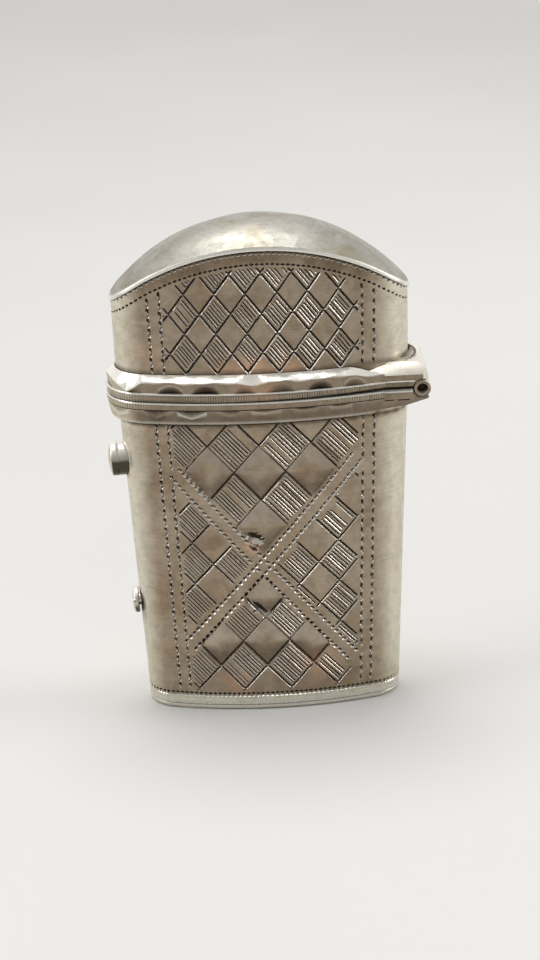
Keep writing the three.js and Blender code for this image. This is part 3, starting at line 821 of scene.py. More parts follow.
def wall_mesh(engraving, low_z, high_at, holes):
    """A wall all round between two heights, engraved outside and plain inside.

    low_z is the lower edge's height and high_at gives the upper one's. holes are pairs of closed
    loops of (way, height) points, one on the outer face and one on the inner. The wall is cut open
    along the hinge end, and closed again there.
    """
    ways = [0.0]
    while ways[-1] < PERIMETER:
        ways.append(ways[-1] + (BEND_STEP if bent(ways[-1]) else SIDE_STEP))
    ways = np.array(ways) * PERIMETER / ways[-1]
    top = [(s, float(high_at(s))) for s in ways]
    bottom = [(s, low_z) for s in ways]
    seam = spaced(low_z, top[0][1], 1.5)[1:-1]
    loop = bottom + [(PERIMETER, z) for z in seam] + top[::-1] + [(0.0, z) for z in seam[::-1]]

    frame_points = list(loop)
    inner_points = list(loop)
    frame_edges = [(k, (k + 1) % len(loop)) for k in range(len(loop))]
    hole_rows = []
    for hole, behind in holes:
        start = len(frame_points)
        frame_points += [tuple(p) for p in hole]
        inner_points += [tuple(p) for p in behind]
        frame_edges += [(start + k, start + (k + 1) % len(hole)) for k in range(len(hole))]
        hole_rows.append((start, len(hole)))

    extra = []
    for s in np.arange(WALL_GRID, PERIMETER - WALL_GRID / 2, WALL_GRID):
        for z in np.arange(low_z + WALL_GRID, float(high_at(s)) - WALL_GRID * 0.4, WALL_GRID):
            extra.append((s + (WALL_GRID / 2 if int(z / WALL_GRID) % 2 else 0), z))
    for s in ways[1:-1]:
        if bent(s):
            for z in np.arange(low_z + 1.1, float(high_at(s)) - 0.5, 1.4):
                extra.append((s, z))
    extra = np.array(extra)
    s, z = extra.T
    near = engraving.near(s, z, ENGRAVING_MARGIN) | (s > PERIMETER - END_MARGIN) | (s < END_MARGIN)
    near_inner = near.copy()
    for hole, behind in holes:
        near |= within_reach(s, z, hole)
        near_inner |= within_reach(s, z, behind)
    fill = [tuple(p) for p in extra[~near]]
    coarse = [tuple(p) for p in extra[~near_inner][::3]]

    offset = len(frame_points)
    edges = frame_edges + [(a + offset, b + offset) for a, b in engraving.edges]
    plane, faces, found = triangulate(frame_points + engraving.points + fill, edges,
                                      [hole for hole, _ in holes])
    inner_plane, inner_faces, inner_found = triangulate(inner_points + coarse, frame_edges,
                                                        [behind for _, behind in holes])
    s, z = plane.T
    depth, share = engraving.groove_depth(s, z)
    dents = engraving.dent_depth(s, z)
    height = np.minimum(-depth, engraving.pillow_height(s, z)) - dents
    is_pit = np.zeros(len(s), bool)
    for row, value in engraving.fixed.items():
        new = found.get(row + offset)
        if new is not None:
            height[new] = value
            share[new] = 1.0
            is_pit[new] = True
    outer, base_normal = place(s, z, height)
    inner, inner_normal = place(*inner_plane.T, -WALL)
    vertices = np.concatenate([outer, inner])
    count = len(outer)

    edges_used = {(f[k], f[k - 2]) for f in faces for k in range(3)}
    following = {a: b for a, b in edges_used if (b, a) not in edges_used}
    rim = []

    def border_between(first, last):
        """The border's points between two of its frame points, where engraved lines meet it."""
        between = []
        k = following.get(last)
        while k is not None and k != first and len(between) < 20:
            between.append(k)
            k = following.get(k)
        return between[::-1] if k == first else []

    def bridge(rows):
        """Faces between the outer and the inner face along a row of frame points."""
        for a, b in zip(rows, rows[1:]):
            between = border_between(found[a], found[b])
            rim.append((found[a], *between, found[b], count + inner_found[b], count + inner_found[a]))

    width = len(ways)
    top_start = width + len(seam)
    bridge(range(width)[::-1])
    bridge(range(top_start, top_start + width)[::-1])
    for start, size in hole_rows:
        bridge([*range(start, start + size), start])

    triangles = np.array(faces)
    corners = outer[triangles]
    flat = np.cross(corners[:, 1] - corners[:, 0], corners[:, 2] - corners[:, 0])
    flat /= np.maximum(np.linalg.norm(flat, axis=1, keepdims=True), 1e-12)
    step = 0.02
    slope_s = (engraving.pillow_height(s + step, z) - engraving.pillow_height(s - step, z)) / (2 * step)
    slope_z = (engraving.pillow_height(s, z + step) - engraving.pillow_height(s, z - step)) / (2 * step)
    tangent = np.stack([-base_normal[:, 1], base_normal[:, 0], 0 * s], -1)
    soft = base_normal - tangent * slope_s[:, None] - np.array([0, 0, 1.0]) * slope_z[:, None]
    soft /= np.linalg.norm(soft, axis=1, keepdims=True)
    cut_vertex = (depth > 1e-4) | is_pit | (np.abs(dents) > 0.02)
    cut_face = cut_vertex[triangles].any(1)
    normals = np.where(cut_face[:, None, None], flat[:, None, :], soft[triangles])

    # Painted light on the engraving: faces that look down get painted shade, faces that look up or to the
    # left a painted highlight, and the cuts grow darker towards their bottoms
    turned_left = -(flat * tangent[triangles].mean(1)).sum(1)
    up = flat[:, 2] - base_normal[triangles][:, :, 2].mean(1) + LEFT_SHARE * np.maximum(turned_left, 0)
    fraction = share[triangles]
    pit_face = is_pit[triangles].any(1)
    dark_side = np.clip(np.where(pit_face, PIT_DARKNESS, GROOVE_DARKNESS) - up * FACING_GAIN, 0, 1)
    bright_side = np.clip(up * FACING_GAIN - 0.12, 0, 1)[:, None]
    cut = np.clip(dark_side[:, None] * 0.92 + fraction * 0.35, 0, 1) * (1 - 0.75 * bright_side)
    painted_highlight = bright_side * (1 - 0.45 * fraction) * np.where(pit_face, PIT_HIGHLIGHT, GROOVE_HIGHLIGHT)[:, None]
    # The pillows get painted shade on slopes that face down and a painted highlight on slopes that face
    # up; the dents grow darker the deeper they are
    lift = soft[triangles][:, :, 2] - base_normal[triangles][:, :, 2]
    cut = np.where(cut_face[:, None], cut, np.clip(-lift * 2.8, 0, 0.8))
    cut = np.maximum(cut, np.clip(dents[triangles] * 6 - 0.2, 0, 0.95))
    painted_highlight = np.where(cut_face[:, None], painted_highlight, np.clip(lift * 1.3 - 0.05, 0, 0.5))
    # A painted highlight along the band above the base
    painted_highlight = np.maximum(painted_highlight, BASE_BAND_HIGHLIGHT * np.clip((BASE_BAND_TOP - z[triangles]) / 0.2, 0, 1))

    inner_triangles = [(a + count, c + count, b + count) for a, b, c in inner_faces]
    inner_corner = [-inner_normal[k - count] for f in inner_triangles for k in f]
    rim_corner = []
    for f in rim:
        p = vertices[list(f)]
        n = np.cross(p[-3] - p[0], p[-1] - p[0])
        n /= max(np.linalg.norm(n), 1e-12)
        rim_corner += [n] * len(f)
    corner_normals = np.concatenate([normals.reshape(-1, 3), np.array(inner_corner), np.array(rim_corner)])
    rest = len(corner_normals) - cut.size
    cut = np.concatenate([cut.ravel(), np.full(rest, PLAIN_DARKNESS)])
    painted_highlight = np.concatenate([painted_highlight.ravel(), np.zeros(rest)])

    weld = seam_pairs(plane, 0) | seam_pairs(inner_plane, count)
    all_faces = [tuple(weld.get(int(v), int(v)) for v in f) for f in faces + inner_triangles + rim]
    used = sorted({v for f in all_faces for v in f})
    renumber = {old: new for new, old in enumerate(used)}
    all_faces = [tuple(renumber[v] for v in f) for f in all_faces]
    # tone: how far the front and back are darkened, partly tarnish and partly a painted dark reflection;
    # none near the foot, and more along each wall's top edge, where tone passes 1
    tone = tone_at(s) * np.clip((z - 1.9) / 0.5, 0, 1)
    tone = tone * (1 + 0.3 * np.clip((LOWER_ARCH_LINE - 0.15 - high_at(s) + z) / 0.25, 0, 1))
    tone = np.concatenate([tone, np.zeros(len(inner))])[used]
    return vertices[used], all_faces, corner_normals, {"cut": cut, "painted_highlight": painted_highlight}, {"tone": tone}


def point_in(point, loop):
    """Whether a point lies inside a closed loop."""
    x, y = point[0], point[1]
    inside = False
    for k, (x1, y1) in enumerate(loop):
        x0, y0 = loop[k - 1]
        if (y1 > y) != (y0 > y) and x < (x0 - x1) * (y - y1) / (y0 - y1) + x1:
            inside = not inside
    return inside


def tone_at(s):
    """1 on the front and back, falling to 0 on the rounded ends, a little sooner on the right. It sets how
    far the wall is darkened, partly tarnish and partly a painted dark reflection.
    """
    centre = np.where(np.abs(s - FRONT_CENTRE) < np.abs(s - BACK_CENTRE), FRONT_CENTRE, BACK_CENTRE)
    off = s - centre
    return np.clip((np.where(off < 0, 18.7, 17.3) - np.abs(off)) / 3.4, 0, 1)


def end_loop(points, depth):
    """Points (y, z) on the left-hand end, as (way, height) points of the wall, at a depth in it."""
    loop = []
    for y, z in points:
        a, b = size_at(z)
        end, _, meet = oval_parts(a, b)
        angle = math.asin(max(-1.0, min(1.0, y / (float(end) - depth))))
        rest = QUARTER - float(half_side(a, b))
        loop.append((LEFT_CENTRE - angle / float(meet) * rest, z))
    return loop


def hole_pair(points):
    """A hole's loops on the outer and the inner face, so that its sides are straight."""
    return end_loop(points, 0.0), end_loop(points, WALL)


def round_hole(z, radius, count):
    turns = [2 * math.pi * k / count for k in range(count)]
    return hole_pair([(radius * math.cos(t), z + radius * math.sin(t)) for t in turns])


def slot_hole(low, high, half):
    bottom = [(y, low) for y in np.linspace(half, -half, 6)]
    top = [(y, high) for y in np.linspace(-half, half, 6)]
    return hole_pair(bottom + top)


# Materials

# PANEL is partly tarnish and partly a painted dark reflection, SHADED is painted shade, BRIGHT serves the
# painted highlights, and DARK the painted shade and dark lines that the cut attribute gives
BARE = (0.72, 0.68, 0.555)
PANEL = (0.355, 0.28, 0.202)
DARK = (0.022, 0.015, 0.009)
BRIGHT = (0.93, 0.91, 0.84)
PINK = (0.66, 0.38, 0.25)
SHADED = (0.05, 0.04, 0.03)
JOINT_DIRT_AND_SHADE = (0.11, 0.08, 0.05)
PAINTED_SHADOW = (0.045, 0.037, 0.03)
BUMP_HEIGHT = 0.00002


class Nodes:
    """A node tree of a material or world, with short ways to add what the looks here need."""

    def __init__(self, owner):
        owner.use_nodes = True
        self.owner = owner
        self.tree = owner.node_tree
        self.where = self.add("TexCoord").outputs
        self.place = self.vector("MULTIPLY", self.where["Object"], (1000, 1000, 1000))

    def add(self, kind):
        return self.tree.nodes.new("ShaderNode" + kind)

    def set(self, socket, value):
        if isinstance(value, bpy.types.NodeSocket):
            self.tree.links.new(value, socket)
        elif isinstance(value, tuple) and len(value) == 3 and socket.type == "RGBA":
            socket.default_value = (*value, 1)
        else:
            socket.default_value = value

    def vector(self, operation, a, b):
        node = self.add("VectorMath")
        node.operation = operation
        self.set(node.inputs[0], a)
        self.set(node.inputs[1], b)
        return node.outputs["Value" if operation in ("DISTANCE", "LENGTH") else "Vector"]

    def value(self, operation, a, b=0.0, c=0.0):
        node = self.add("Math")
        node.operation = operation
        for socket, value in zip(node.inputs, (a, b, c)):
            self.set(socket, value)
        return node.outputs[0]

    def noise(self, scale, detail=3.0, rough=0.55, stretch=None, warp=0.0):
        node = self.add("TexNoise")
        where = self.place if stretch is None else self.vector("MULTIPLY", self.place, stretch)
        self.set(node.inputs["Vector"], where)
        numbers = {"Scale": scale, "Detail": detail, "Roughness": rough, "Distortion": warp}
        for key, value in numbers.items():
            node.inputs[key].default_value = value
        return node.outputs[0]

    def ramp(self, value, low, high, to_low=0.0, to_high=1.0):
        """A smooth step from to_low to to_high as the value goes from low to high."""
        node = self.add("MapRange")
        node.interpolation_type = "SMOOTHSTEP"
        for socket, number in zip(node.inputs, (value, low, high, to_low, to_high)):
            self.set(socket, number)
        return node.outputs[0]

    def mix(self, share, a, b, kind="MIX"):
        node = self.add("Mix")
        node.data_type = "RGBA"
        node.blend_type = kind
        for socket, value in zip((node.inputs[0], node.inputs[6], node.inputs[7]), (share, a, b)):
            self.set(socket, value)
        return node.outputs[2]

    def tinted(self, share, colour, tint):
        """A colour that is multiplied by a tint as far as share says."""
        return self.mix(share, colour, self.mix(1.0, colour, tint, "MULTIPLY"))

    def mottled(self, pattern, low, high, colour, darker):
        """A colour that a pattern darkens here and there."""
        return self.mix(self.ramp(pattern, low, high), colour, tuple(c * darker for c in colour))

    def attribute(self, name):
        node = self.add("Attribute")
        node.attribute_name = name
        return node.outputs["Fac"]

    def split(self, vector):
        node = self.add("SeparateXYZ")
        self.set(node.inputs[0], vector)
        return node.outputs

    def seen(self):
        """1 for what is seen, directly or in the metal, and 0 for what only gives light."""
        rays = self.add("LightPath").outputs
        direct = self.value("MAXIMUM", rays["Is Camera Ray"], rays["Is Glossy Ray"])
        return self.value("MAXIMUM", direct, rays["Is Transmission Ray"])

    def near(self, spot, reach):
        """1 at a spot in millimetres, falling to 0 at a reach, with a ragged border."""
        distance = self.vector("DISTANCE", self.place, spot)
        ragged = self.value("MULTIPLY_ADD", self.noise(0.5, 4), reach * 0.9, distance)
        return self.ramp(ragged, reach * 1.25, reach * 0.45)


def silver(name, base=BARE, panel=None, roughness=0.34, stains=(), dirt_and_shade=(), worn=0.5, engraved=True,
           facing=0.0, top_highlight=0.0, under=0.0, below=(0.08, -0.38), rim=0.0, relief=1.0, corners=()):
    """Old silver: mottled, scratched and darker in its cuts, with painted shade and painted highlights.

    stains are (spot, reach, strength) of a pink bloom. dirt_and_shade are (height, reach, strength) of
    dark bands, partly dirt and partly painted shade. facing darkens what faces the front and the back,
    partly tarnish and partly a painted dark reflection, top_highlight paints a highlight on what faces
    up, under paints shade on what faces down between the numbers in below, rim paints a highlight on
    upright faces, relief deepens the bumps, and corners are (spot, reach) of a painted shadow.
    """
    m = Nodes(bpy.data.materials.new(name))
    shader = m.tree.nodes["Principled BSDF"].inputs
    normal_x, normal_y, normal_z = m.split(m.where["Normal"])
    big = m.noise(0.16, 3, warp=0.6)
    middle = m.noise(0.75, 6, 0.62, warp=0.4)
    fine = m.noise(5.5, 4, 0.6)
    drawn = m.noise(1.0, 3, 0.6, stretch=(0.35, 0.35, 6.5))
    crossed = m.noise(1.0, 2, 0.5, stretch=(4.5, 4.5, 0.3), warp=0.5)
    colour = m.mottled(middle, 0.3, 0.75, base, 0.82)
    # The front and back go towards panel as far as tone says, partly tarnish and partly a painted dark
    # reflection; along each wall's top edge, where tone passes 1, darker still
    if panel is not None:
        tone = m.value("MULTIPLY", m.attribute("tone"), m.ramp(big, 0.25, 0.7, 0.86, 1.0))
        colour = m.mix(tone, colour, m.mottled(middle, 0.35, 0.7, panel, 0.8))
        colour = m.tinted(m.ramp(tone, 1.0, 1.28, 0.0, 0.9), colour, (0.66, 0.64, 0.6))
    for pattern, low, high, strength, tint in ((big, 0.42, 0.72, worn, (0.78, 0.72, 0.62)),
                                               (drawn, 0.54, 0.7, 0.4, (0.6, 0.56, 0.5)),
                                               (fine, 0.56, 0.76, 0.45, (0.62, 0.57, 0.5))):
        colour = m.tinted(m.ramp(pattern, low, high, 0.0, strength), colour, tint)
    # Painted dark reflection, partly tarnish: faces that look to the front or the back, and not up, go
    # towards PANEL
    if facing:
        flat = m.ramp(m.value("ABSOLUTE", normal_y), 0.72, 0.98)
        share = m.value("MULTIPLY", flat, m.ramp(normal_z, 0.15, 0.5, facing, 0.0))
        colour = m.mix(share, colour, m.mottled(middle, 0.35, 0.7, PANEL, 0.8))
    # Painted highlight: faces that look up go towards BRIGHT
    if top_highlight:
        colour = m.mix(m.ramp(normal_z, 0.2, 0.75, 0.0, top_highlight), colour, BRIGHT)
    # Painted shade: faces that look down, and not to the side, go towards SHADED
    if under:
        sideways = m.ramp(m.value("ABSOLUTE", normal_x), 0.6, 0.3)
        shaded = m.value("MULTIPLY", m.ramp(normal_z, *below, 0.0, under), sideways)
        colour = m.mix(shaded, colour, SHADED)
    # Painted highlight: upright faces go towards BRIGHT
    if rim:
        colour = m.mix(m.ramp(normal_z, 0.75, 0.35, 0.0, rim), colour, BRIGHT)
    for spot, reach, strength in stains:
        patch = m.value("MULTIPLY", m.near(spot, reach), m.ramp(middle, 0.32, 0.62, 0.3, strength))
        colour = m.mix(patch, colour, PINK)
    # Dark bands at given heights, partly dirt and partly painted shade at the joins
    for height, reach, strength in dirt_and_shade:
        off = m.value("ABSOLUTE", m.value("SUBTRACT", m.split(m.place)[2], height))
        ragged = m.value("MULTIPLY_ADD", m.noise(0.8, 4), reach, off)
        colour = m.mix(m.ramp(ragged, reach * 1.3, reach * 0.45, 0.0, strength), colour, JOINT_DIRT_AND_SHADE)
    # Painted shadow round given spots
    for spot, reach in corners:
        colour = m.mix(m.near(spot, reach), colour, PAINTED_SHADOW)
    rough = m.ramp(middle, 0.25, 0.75, roughness - 0.05, roughness + 0.1)
    # Less metallic where the painted top highlight lies
    metallic = m.ramp(normal_z, 0.2, 0.75, 1.0, 0.55) if top_highlight else 1.0
    # The cut attribute darkens towards DARK, mostly painted shade, and the highlight attribute brightens
    # towards BRIGHT, a painted highlight
    if engraved:
        cut = m.attribute("cut")
        painted_highlight = m.attribute("painted_highlight")
        colour = m.mix(cut, colour, DARK)
        colour = m.mix(m.value("MULTIPLY", painted_highlight, 0.9), colour, BRIGHT)
        rough = m.value("MULTIPLY_ADD", painted_highlight, -0.14, rough)
        rough = m.value("MULTIPLY_ADD", cut, 0.25, rough)
        metallic = m.value("MULTIPLY", m.value("MULTIPLY_ADD", painted_highlight, -0.4, 1.0), metallic)
    height = m.value("MULTIPLY", fine, 0.35)
    for pattern, strength in ((drawn, 0.5), (crossed, 0.3), (middle, 1.2)):
        height = m.value("ADD", height, m.value("MULTIPLY", pattern, strength))
    bump = m.add("Bump")
    bump.inputs["Strength"].default_value = 0.7
    bump.inputs["Distance"].default_value = BUMP_HEIGHT * relief
    m.set(bump.inputs["Height"], height)
    for key, value in (("Base Color", colour), ("Roughness", rough), ("Metallic", metallic),
                       ("Normal", bump.outputs[0])):
        m.set(shader[key], value)
    return m.owner


# The dark bands at given heights are partly dirt and partly painted shade at the joins, and the corners
# spot is a painted shadow round the screw head
engraved_body = silver("engraved_body", panel=PANEL, roughness=0.33,
                       stains=(((6, -6.5, 6.5), 5.0, 0.55), ((-5, -6.4, 4.0), 4.0, 0.45),
                               ((-2.3, -6.6, 24.0), 2.3, 1.0)),
                       dirt_and_shade=((41.1, 0.85, 0.92), (0.95, 0.4, 0.3)),
                       corners=(((-17.8, 0.3, 14.0), 4.6),))
engraved_lid = silver("engraved_lid", panel=PANEL, roughness=0.33,
                      stains=(((-1.5, -7, 48.3), 4.2, 1.0), ((3.2, -7, 48.2), 3.6, 0.9),
                              ((-5, -7, 48.6), 3.2, 0.5), ((-15, -4, 51), 4.0, 0.3)),
                      dirt_and_shade=((48.2, 0.9, 0.6),))
# Below, the brightening of upward and upright faces is a painted highlight, the darkening of downward
# faces painted shade, and the darker fronts partly tarnish and partly a painted dark reflection
roof_silver = silver("roof_silver", base=(0.40, 0.386, 0.348), roughness=0.44, worn=0.9, engraved=False,
                     rim=0.8, relief=2.2, dirt_and_shade=((58.3, 0.9, 0.3),))
mount_silver = silver("mount_silver", base=(0.66, 0.60, 0.48), roughness=0.3, worn=0.5, facing=0.95,
                      top_highlight=0.85, under=0.75, stains=(((-1, -8.3, 47.3), 6.0, 0.7),))
plain_silver = silver("plain_silver", base=(0.68, 0.63, 0.53), roughness=0.28, engraved=False,
                      top_highlight=0.95, under=0.95, below=(0.3, 0.02))
base_silver = silver("base_silver", base=(0.60, 0.54, 0.44), roughness=0.3, engraved=False,
                     top_highlight=0.6, rim=0.5)
hinge_silver = silver("hinge_silver", base=(0.66, 0.6, 0.475), roughness=0.3, facing=0.97,
                      top_highlight=0.6, under=0.6)
gilt = silver("gilt", base=(0.72, 0.52, 0.26), roughness=0.3, engraved=False, worn=0.6)
steel = silver("steel", base=(0.36, 0.35, 0.34), roughness=0.38, engraved=False, worn=0.8)
pin_steel = silver("pin_steel", base=(0.05, 0.042, 0.035), roughness=0.5, engraved=False, worn=0.8)
screw_steel = silver("screw_steel", base=(0.7, 0.66, 0.57), roughness=0.34, top_highlight=0.8, under=0.9)

# Walls


def build_wall(name, body, node, low, high_at, holes, engrave, material):
    """A wall with all its engraving, as a piece."""
    engraving = Engraving()
    engrave(engraving)
    vertices, faces, normals, corners, points = wall_mesh(engraving, low, high_at, holes)
    new_object(name, vertices, faces, body, (node,), material, normals, corners, points)


def level(z):
    """Gives one height all the way round."""
    return lambda s: np.full(np.shape(s), float(z))


def under_roof(distance):
    """Gives a height that follows the lid wall's arched top."""
    return lambda s: lid_top(s) - distance


# Each dent's place, turn, length, width and depth
DENTS = ((-1.9, 25.05, -0.65, 2.6, 1.35, 0.4), (-2.25, 24.0, -0.7, 1.5, 1.0, -0.14),
         (-1.65, 14.7, -0.85, 2.9, 1.1, 0.4))


def engrave_all_body(engraving):
    """All that is cut into the body's wall."""
    front = Face(engraving, FRONT_CENTRE)
    for x, z, turn, length, width, depth in DENTS:
        engraving.dent(front.at((x, z)), turn, length, width, depth)
    for centre in (FRONT_CENTRE, BACK_CENTRE):
        engrave_body(engraving, centre)
    ring_of_dots(engraving, level(BASE_DOTS), 0.65, 0.6, 0.42, 0.2, (0.0, -0.5))
    ring_of_lines(engraving, level(BASE_LINES), 0.62, 0.34, 0.2)
    ring_of_dots(engraving, level(FOOT_DOTS), 0.5, 0.3, 0.13, 0.07, (0.0, 0.0))


def engrave_all_lid(engraving):
    """All that is cut into the lid's wall."""
    for centre in (FRONT_CENTRE, BACK_CENTRE):
        engrave_lid(engraving, centre)
    ring_of_dots(engraving, under_roof(UPPER_ARCH_LINE), 0.75, 0.66, 0.3, 0.15, (0.0, 0.35))
    ring_of_dots(engraving, under_roof(LOWER_ARCH_LINE), 0.66, 0.64, 0.36, 0.18, (0.0, -0.4))


body_holes = (round_hole(BUTTON_Z, BUTTON_RADIUS + 0.14, 40), round_hole(SCREW_Z, SCREW_SHANK + 0.15, 24))
lid_holes = (slot_hole(NOSE_SLOT_LOW, NOSE_SLOT_HIGH, NOSE_SLOT_HALF),)
build_wall("engraved_body_wall", "case_body", "body_shell", BASE_PLATE + SEAT, level(MOUTH - SEAM / 2),
           body_holes, engrave_all_body, engraved_body)
build_wall("engraved_lid_wall", "lid", "lid_shell", MOUTH + SEAM / 2, under_roof(0.15),
           lid_holes, engrave_all_lid, engraved_lid)

# Grids and turned pieces

TURNED_SHARP = 35


def grid_faces(rows, columns, wrap_rows=False):
    """Quads of a grid of points, row by row, each row closed to a ring."""
    faces = []
    for i in range(rows if wrap_rows else rows - 1):
        n = (i + 1) % rows
        for j in range(columns):
            k = (j + 1) % columns
            faces.append((i * columns + j, i * columns + k, n * columns + k, n * columns + j))
    return faces


def turned(profile, steps):
    """Vertices and faces of a [radius, along] profile turned about the X axis.

    A profile that doesn't start and end on the axis is closed on itself, as a tube.
    """
    turns = np.arange(steps) * 2 * math.pi / steps
    rows = [np.stack([np.full(steps, along), radius * np.cos(turns), radius * np.sin(turns)], -1)
            for radius, along in profile]
    tube = profile[0][0] > 0.01 and profile[-1][0] > 0.01
    return np.concatenate(rows), grid_faces(len(profile), steps, wrap_rows=tube)


def cleaned(vertices, faces, place_in=None):
    """Merges doubled points, drops flat faces and turns the faces outwards."""
    bm = bmesh.new()
    rows = [bm.verts.new(v) for v in vertices]
    for f in faces:
        bm.faces.new([rows[k] for k in f])
    bmesh.ops.remove_doubles(bm, verts=bm.verts, dist=1e-4)
    bmesh.ops.dissolve_degenerate(bm, edges=bm.edges, dist=1e-5)
    bmesh.ops.recalc_face_normals(bm, faces=bm.faces)
    if place_in is not None:
        bmesh.ops.transform(bm, matrix=place_in, verts=bm.verts)
    result = lists_of(bm)
    bm.free()
    return result


wall_tilt = -math.atan2(MOUTH_HALF_WIDTH - FOOT_HALF_WIDTH, MOUTH)
left_wall = Matrix.Translation((-FOOT_HALF_WIDTH, 0, 0)) @ Matrix.Rotation(wall_tilt, 4, "Y")


def along_wall(z):
    """Length along the leaning wall up to a height."""
    return z / math.cos(wall_tilt)


def on_wall(z):
    """The frame of a piece in the left wall: its X axis points into the case."""
    return left_wall @ Matrix.Translation((0, 0, along_wall(z)))


def turned_piece(name, profile, matrix, body, node, material, steps):
    """A piece turned about the X axis of a frame."""
    vertices, faces = cleaned(*turned(profile, steps), matrix)
    return new_object(name, vertices, faces, body, (node,), material, sharp=TURNED_SHARP)


# Base plate

BASE_STEPS = 220


def level_ring(out, z):
    """A ring of points round the wall at a height."""
    s = np.arange(BASE_STEPS) * PERIMETER / BASE_STEPS
    points, _ = place(s, np.full(BASE_STEPS, float(z)), out)
    return points


def stacked(rings, low_centre, high_centre):
    """Rings from the bottom up, each end closed over a middle point by smaller rings."""
    count = len(rings[0])
    low = [low_centre + (rings[0] - low_centre) * k / 4 for k in (1, 2, 3)]
    high = [high_centre + (rings[-1] - high_centre) * k / 4 for k in (3, 2, 1)]
    rows = low + rings + high
    vertices = np.concatenate(rows + [[low_centre], [high_centre]])
    faces = grid_faces(len(rows), count)
    first, last = len(vertices) - 2, len(vertices) - 1
    top = (len(rows) - 1) * count
    for j in range(count):
        k = (j + 1) % count
        faces.append((first, k, j))
        faces.append((last, top + j, top + k))
    return vertices, faces


foot = [(-BASE_ROUNDING, 0.0)]
for k in range(1, 7):
    turn = k / 6 * math.pi / 2
    foot.append((-BASE_ROUNDING * (1 - math.sin(turn)), BASE_ROUNDING * (1 - math.cos(turn))))
foot += [(0.0, BASE_PLATE - 0.06), (-0.06, BASE_PLATE)]
rings = [level_ring(out, z) for out, z in foot]
vertices, faces = cleaned(*stacked(rings, np.array([0, 0, 0.0]), np.array([0, 0, BASE_PLATE])))
new_object("rounded_base", vertices, faces, "case_body", ("base_plate",), base_silver, sharp=50)

# Roof

ROOF_STEPS = 260


def dome_at(share):
    """Rise of the dome above the arch, at a share of the way from the middle to the edge."""
    return ROOF_CROWN * (1 - share ** DOME_POWER)


def roof_ring(inset_by, scale, rise):
    """A ring of points on the roof, at a scale of its edge."""
    s = np.arange(ROOF_STEPS) * PERIMETER / ROOF_STEPS
    a, b = CREST_HALF_WIDTH, CREST_HALF_DEPTH
    x, y, _, _ = around(s, a, b, ROOF_OVERHANG - inset_by)
    return np.stack([x * scale, y * scale, arch_at(x * scale) + rise], -1)


def dented(points, dents):
    """The points of a roof ring, pushed down a little where knocks have dented it."""
    moved = points.copy()
    for x, y, depth, spread in dents:
        away = (points[:, 0] - x) ** 2 + (points[:, 1] - y) ** 2
        moved[:, 2] -= depth * np.exp(-away / (2 * spread ** 2))
    return moved


# Each knock's place, depth and spread
roof_dents = [(rng.uniform(-16, 16), rng.uniform(-5, 5), rng.uniform(0.02, 0.07), rng.uniform(0.6, 1.8))
              for _ in range(34)]
shares = [0.04 * k for k in range(3, 24)] + [0.95]
rim = ROOF_OVERHANG + WALL
rows = [roof_ring(rim, k, dome_at(k) - ROOF_PLATE) for k in shares + [1.0]]
roof_edge = ((ROOF_OVERHANG, -0.70), (0.08, -0.66), (0.02, -0.56), (0.0, -0.42), (0.03, -0.27),
             (0.1, -0.14), (0.2, -0.04), (0.3, 0.0))
rows += [roof_ring(out, 1.0, rise) for out, rise in roof_edge]
rows += [dented(roof_ring(0.3, k, dome_at(k)), roof_dents) for k in (shares + [0.985])[::-1]]
top = ARCH + ROOF_CROWN
vertices, faces = cleaned(*stacked(rows, np.array([0, 0, top - ROOF_PLATE]), np.array([0, 0, top])))
new_object("domed_roof", vertices, faces, "lid", ("lid_roof",), roof_silver, sharp=50)

# Mounts: mouldings round the mouth, with milled edges and scoops

MOUNT_END = HINGE_LENGTH / 2 + SEAT
TICK_PITCH = 0.32
SCOOP_PITCH = 4.75
SCOOP_HALF = 1.72
MOUNT_GAP = 6.0
MOUNT_FACE = 1.3


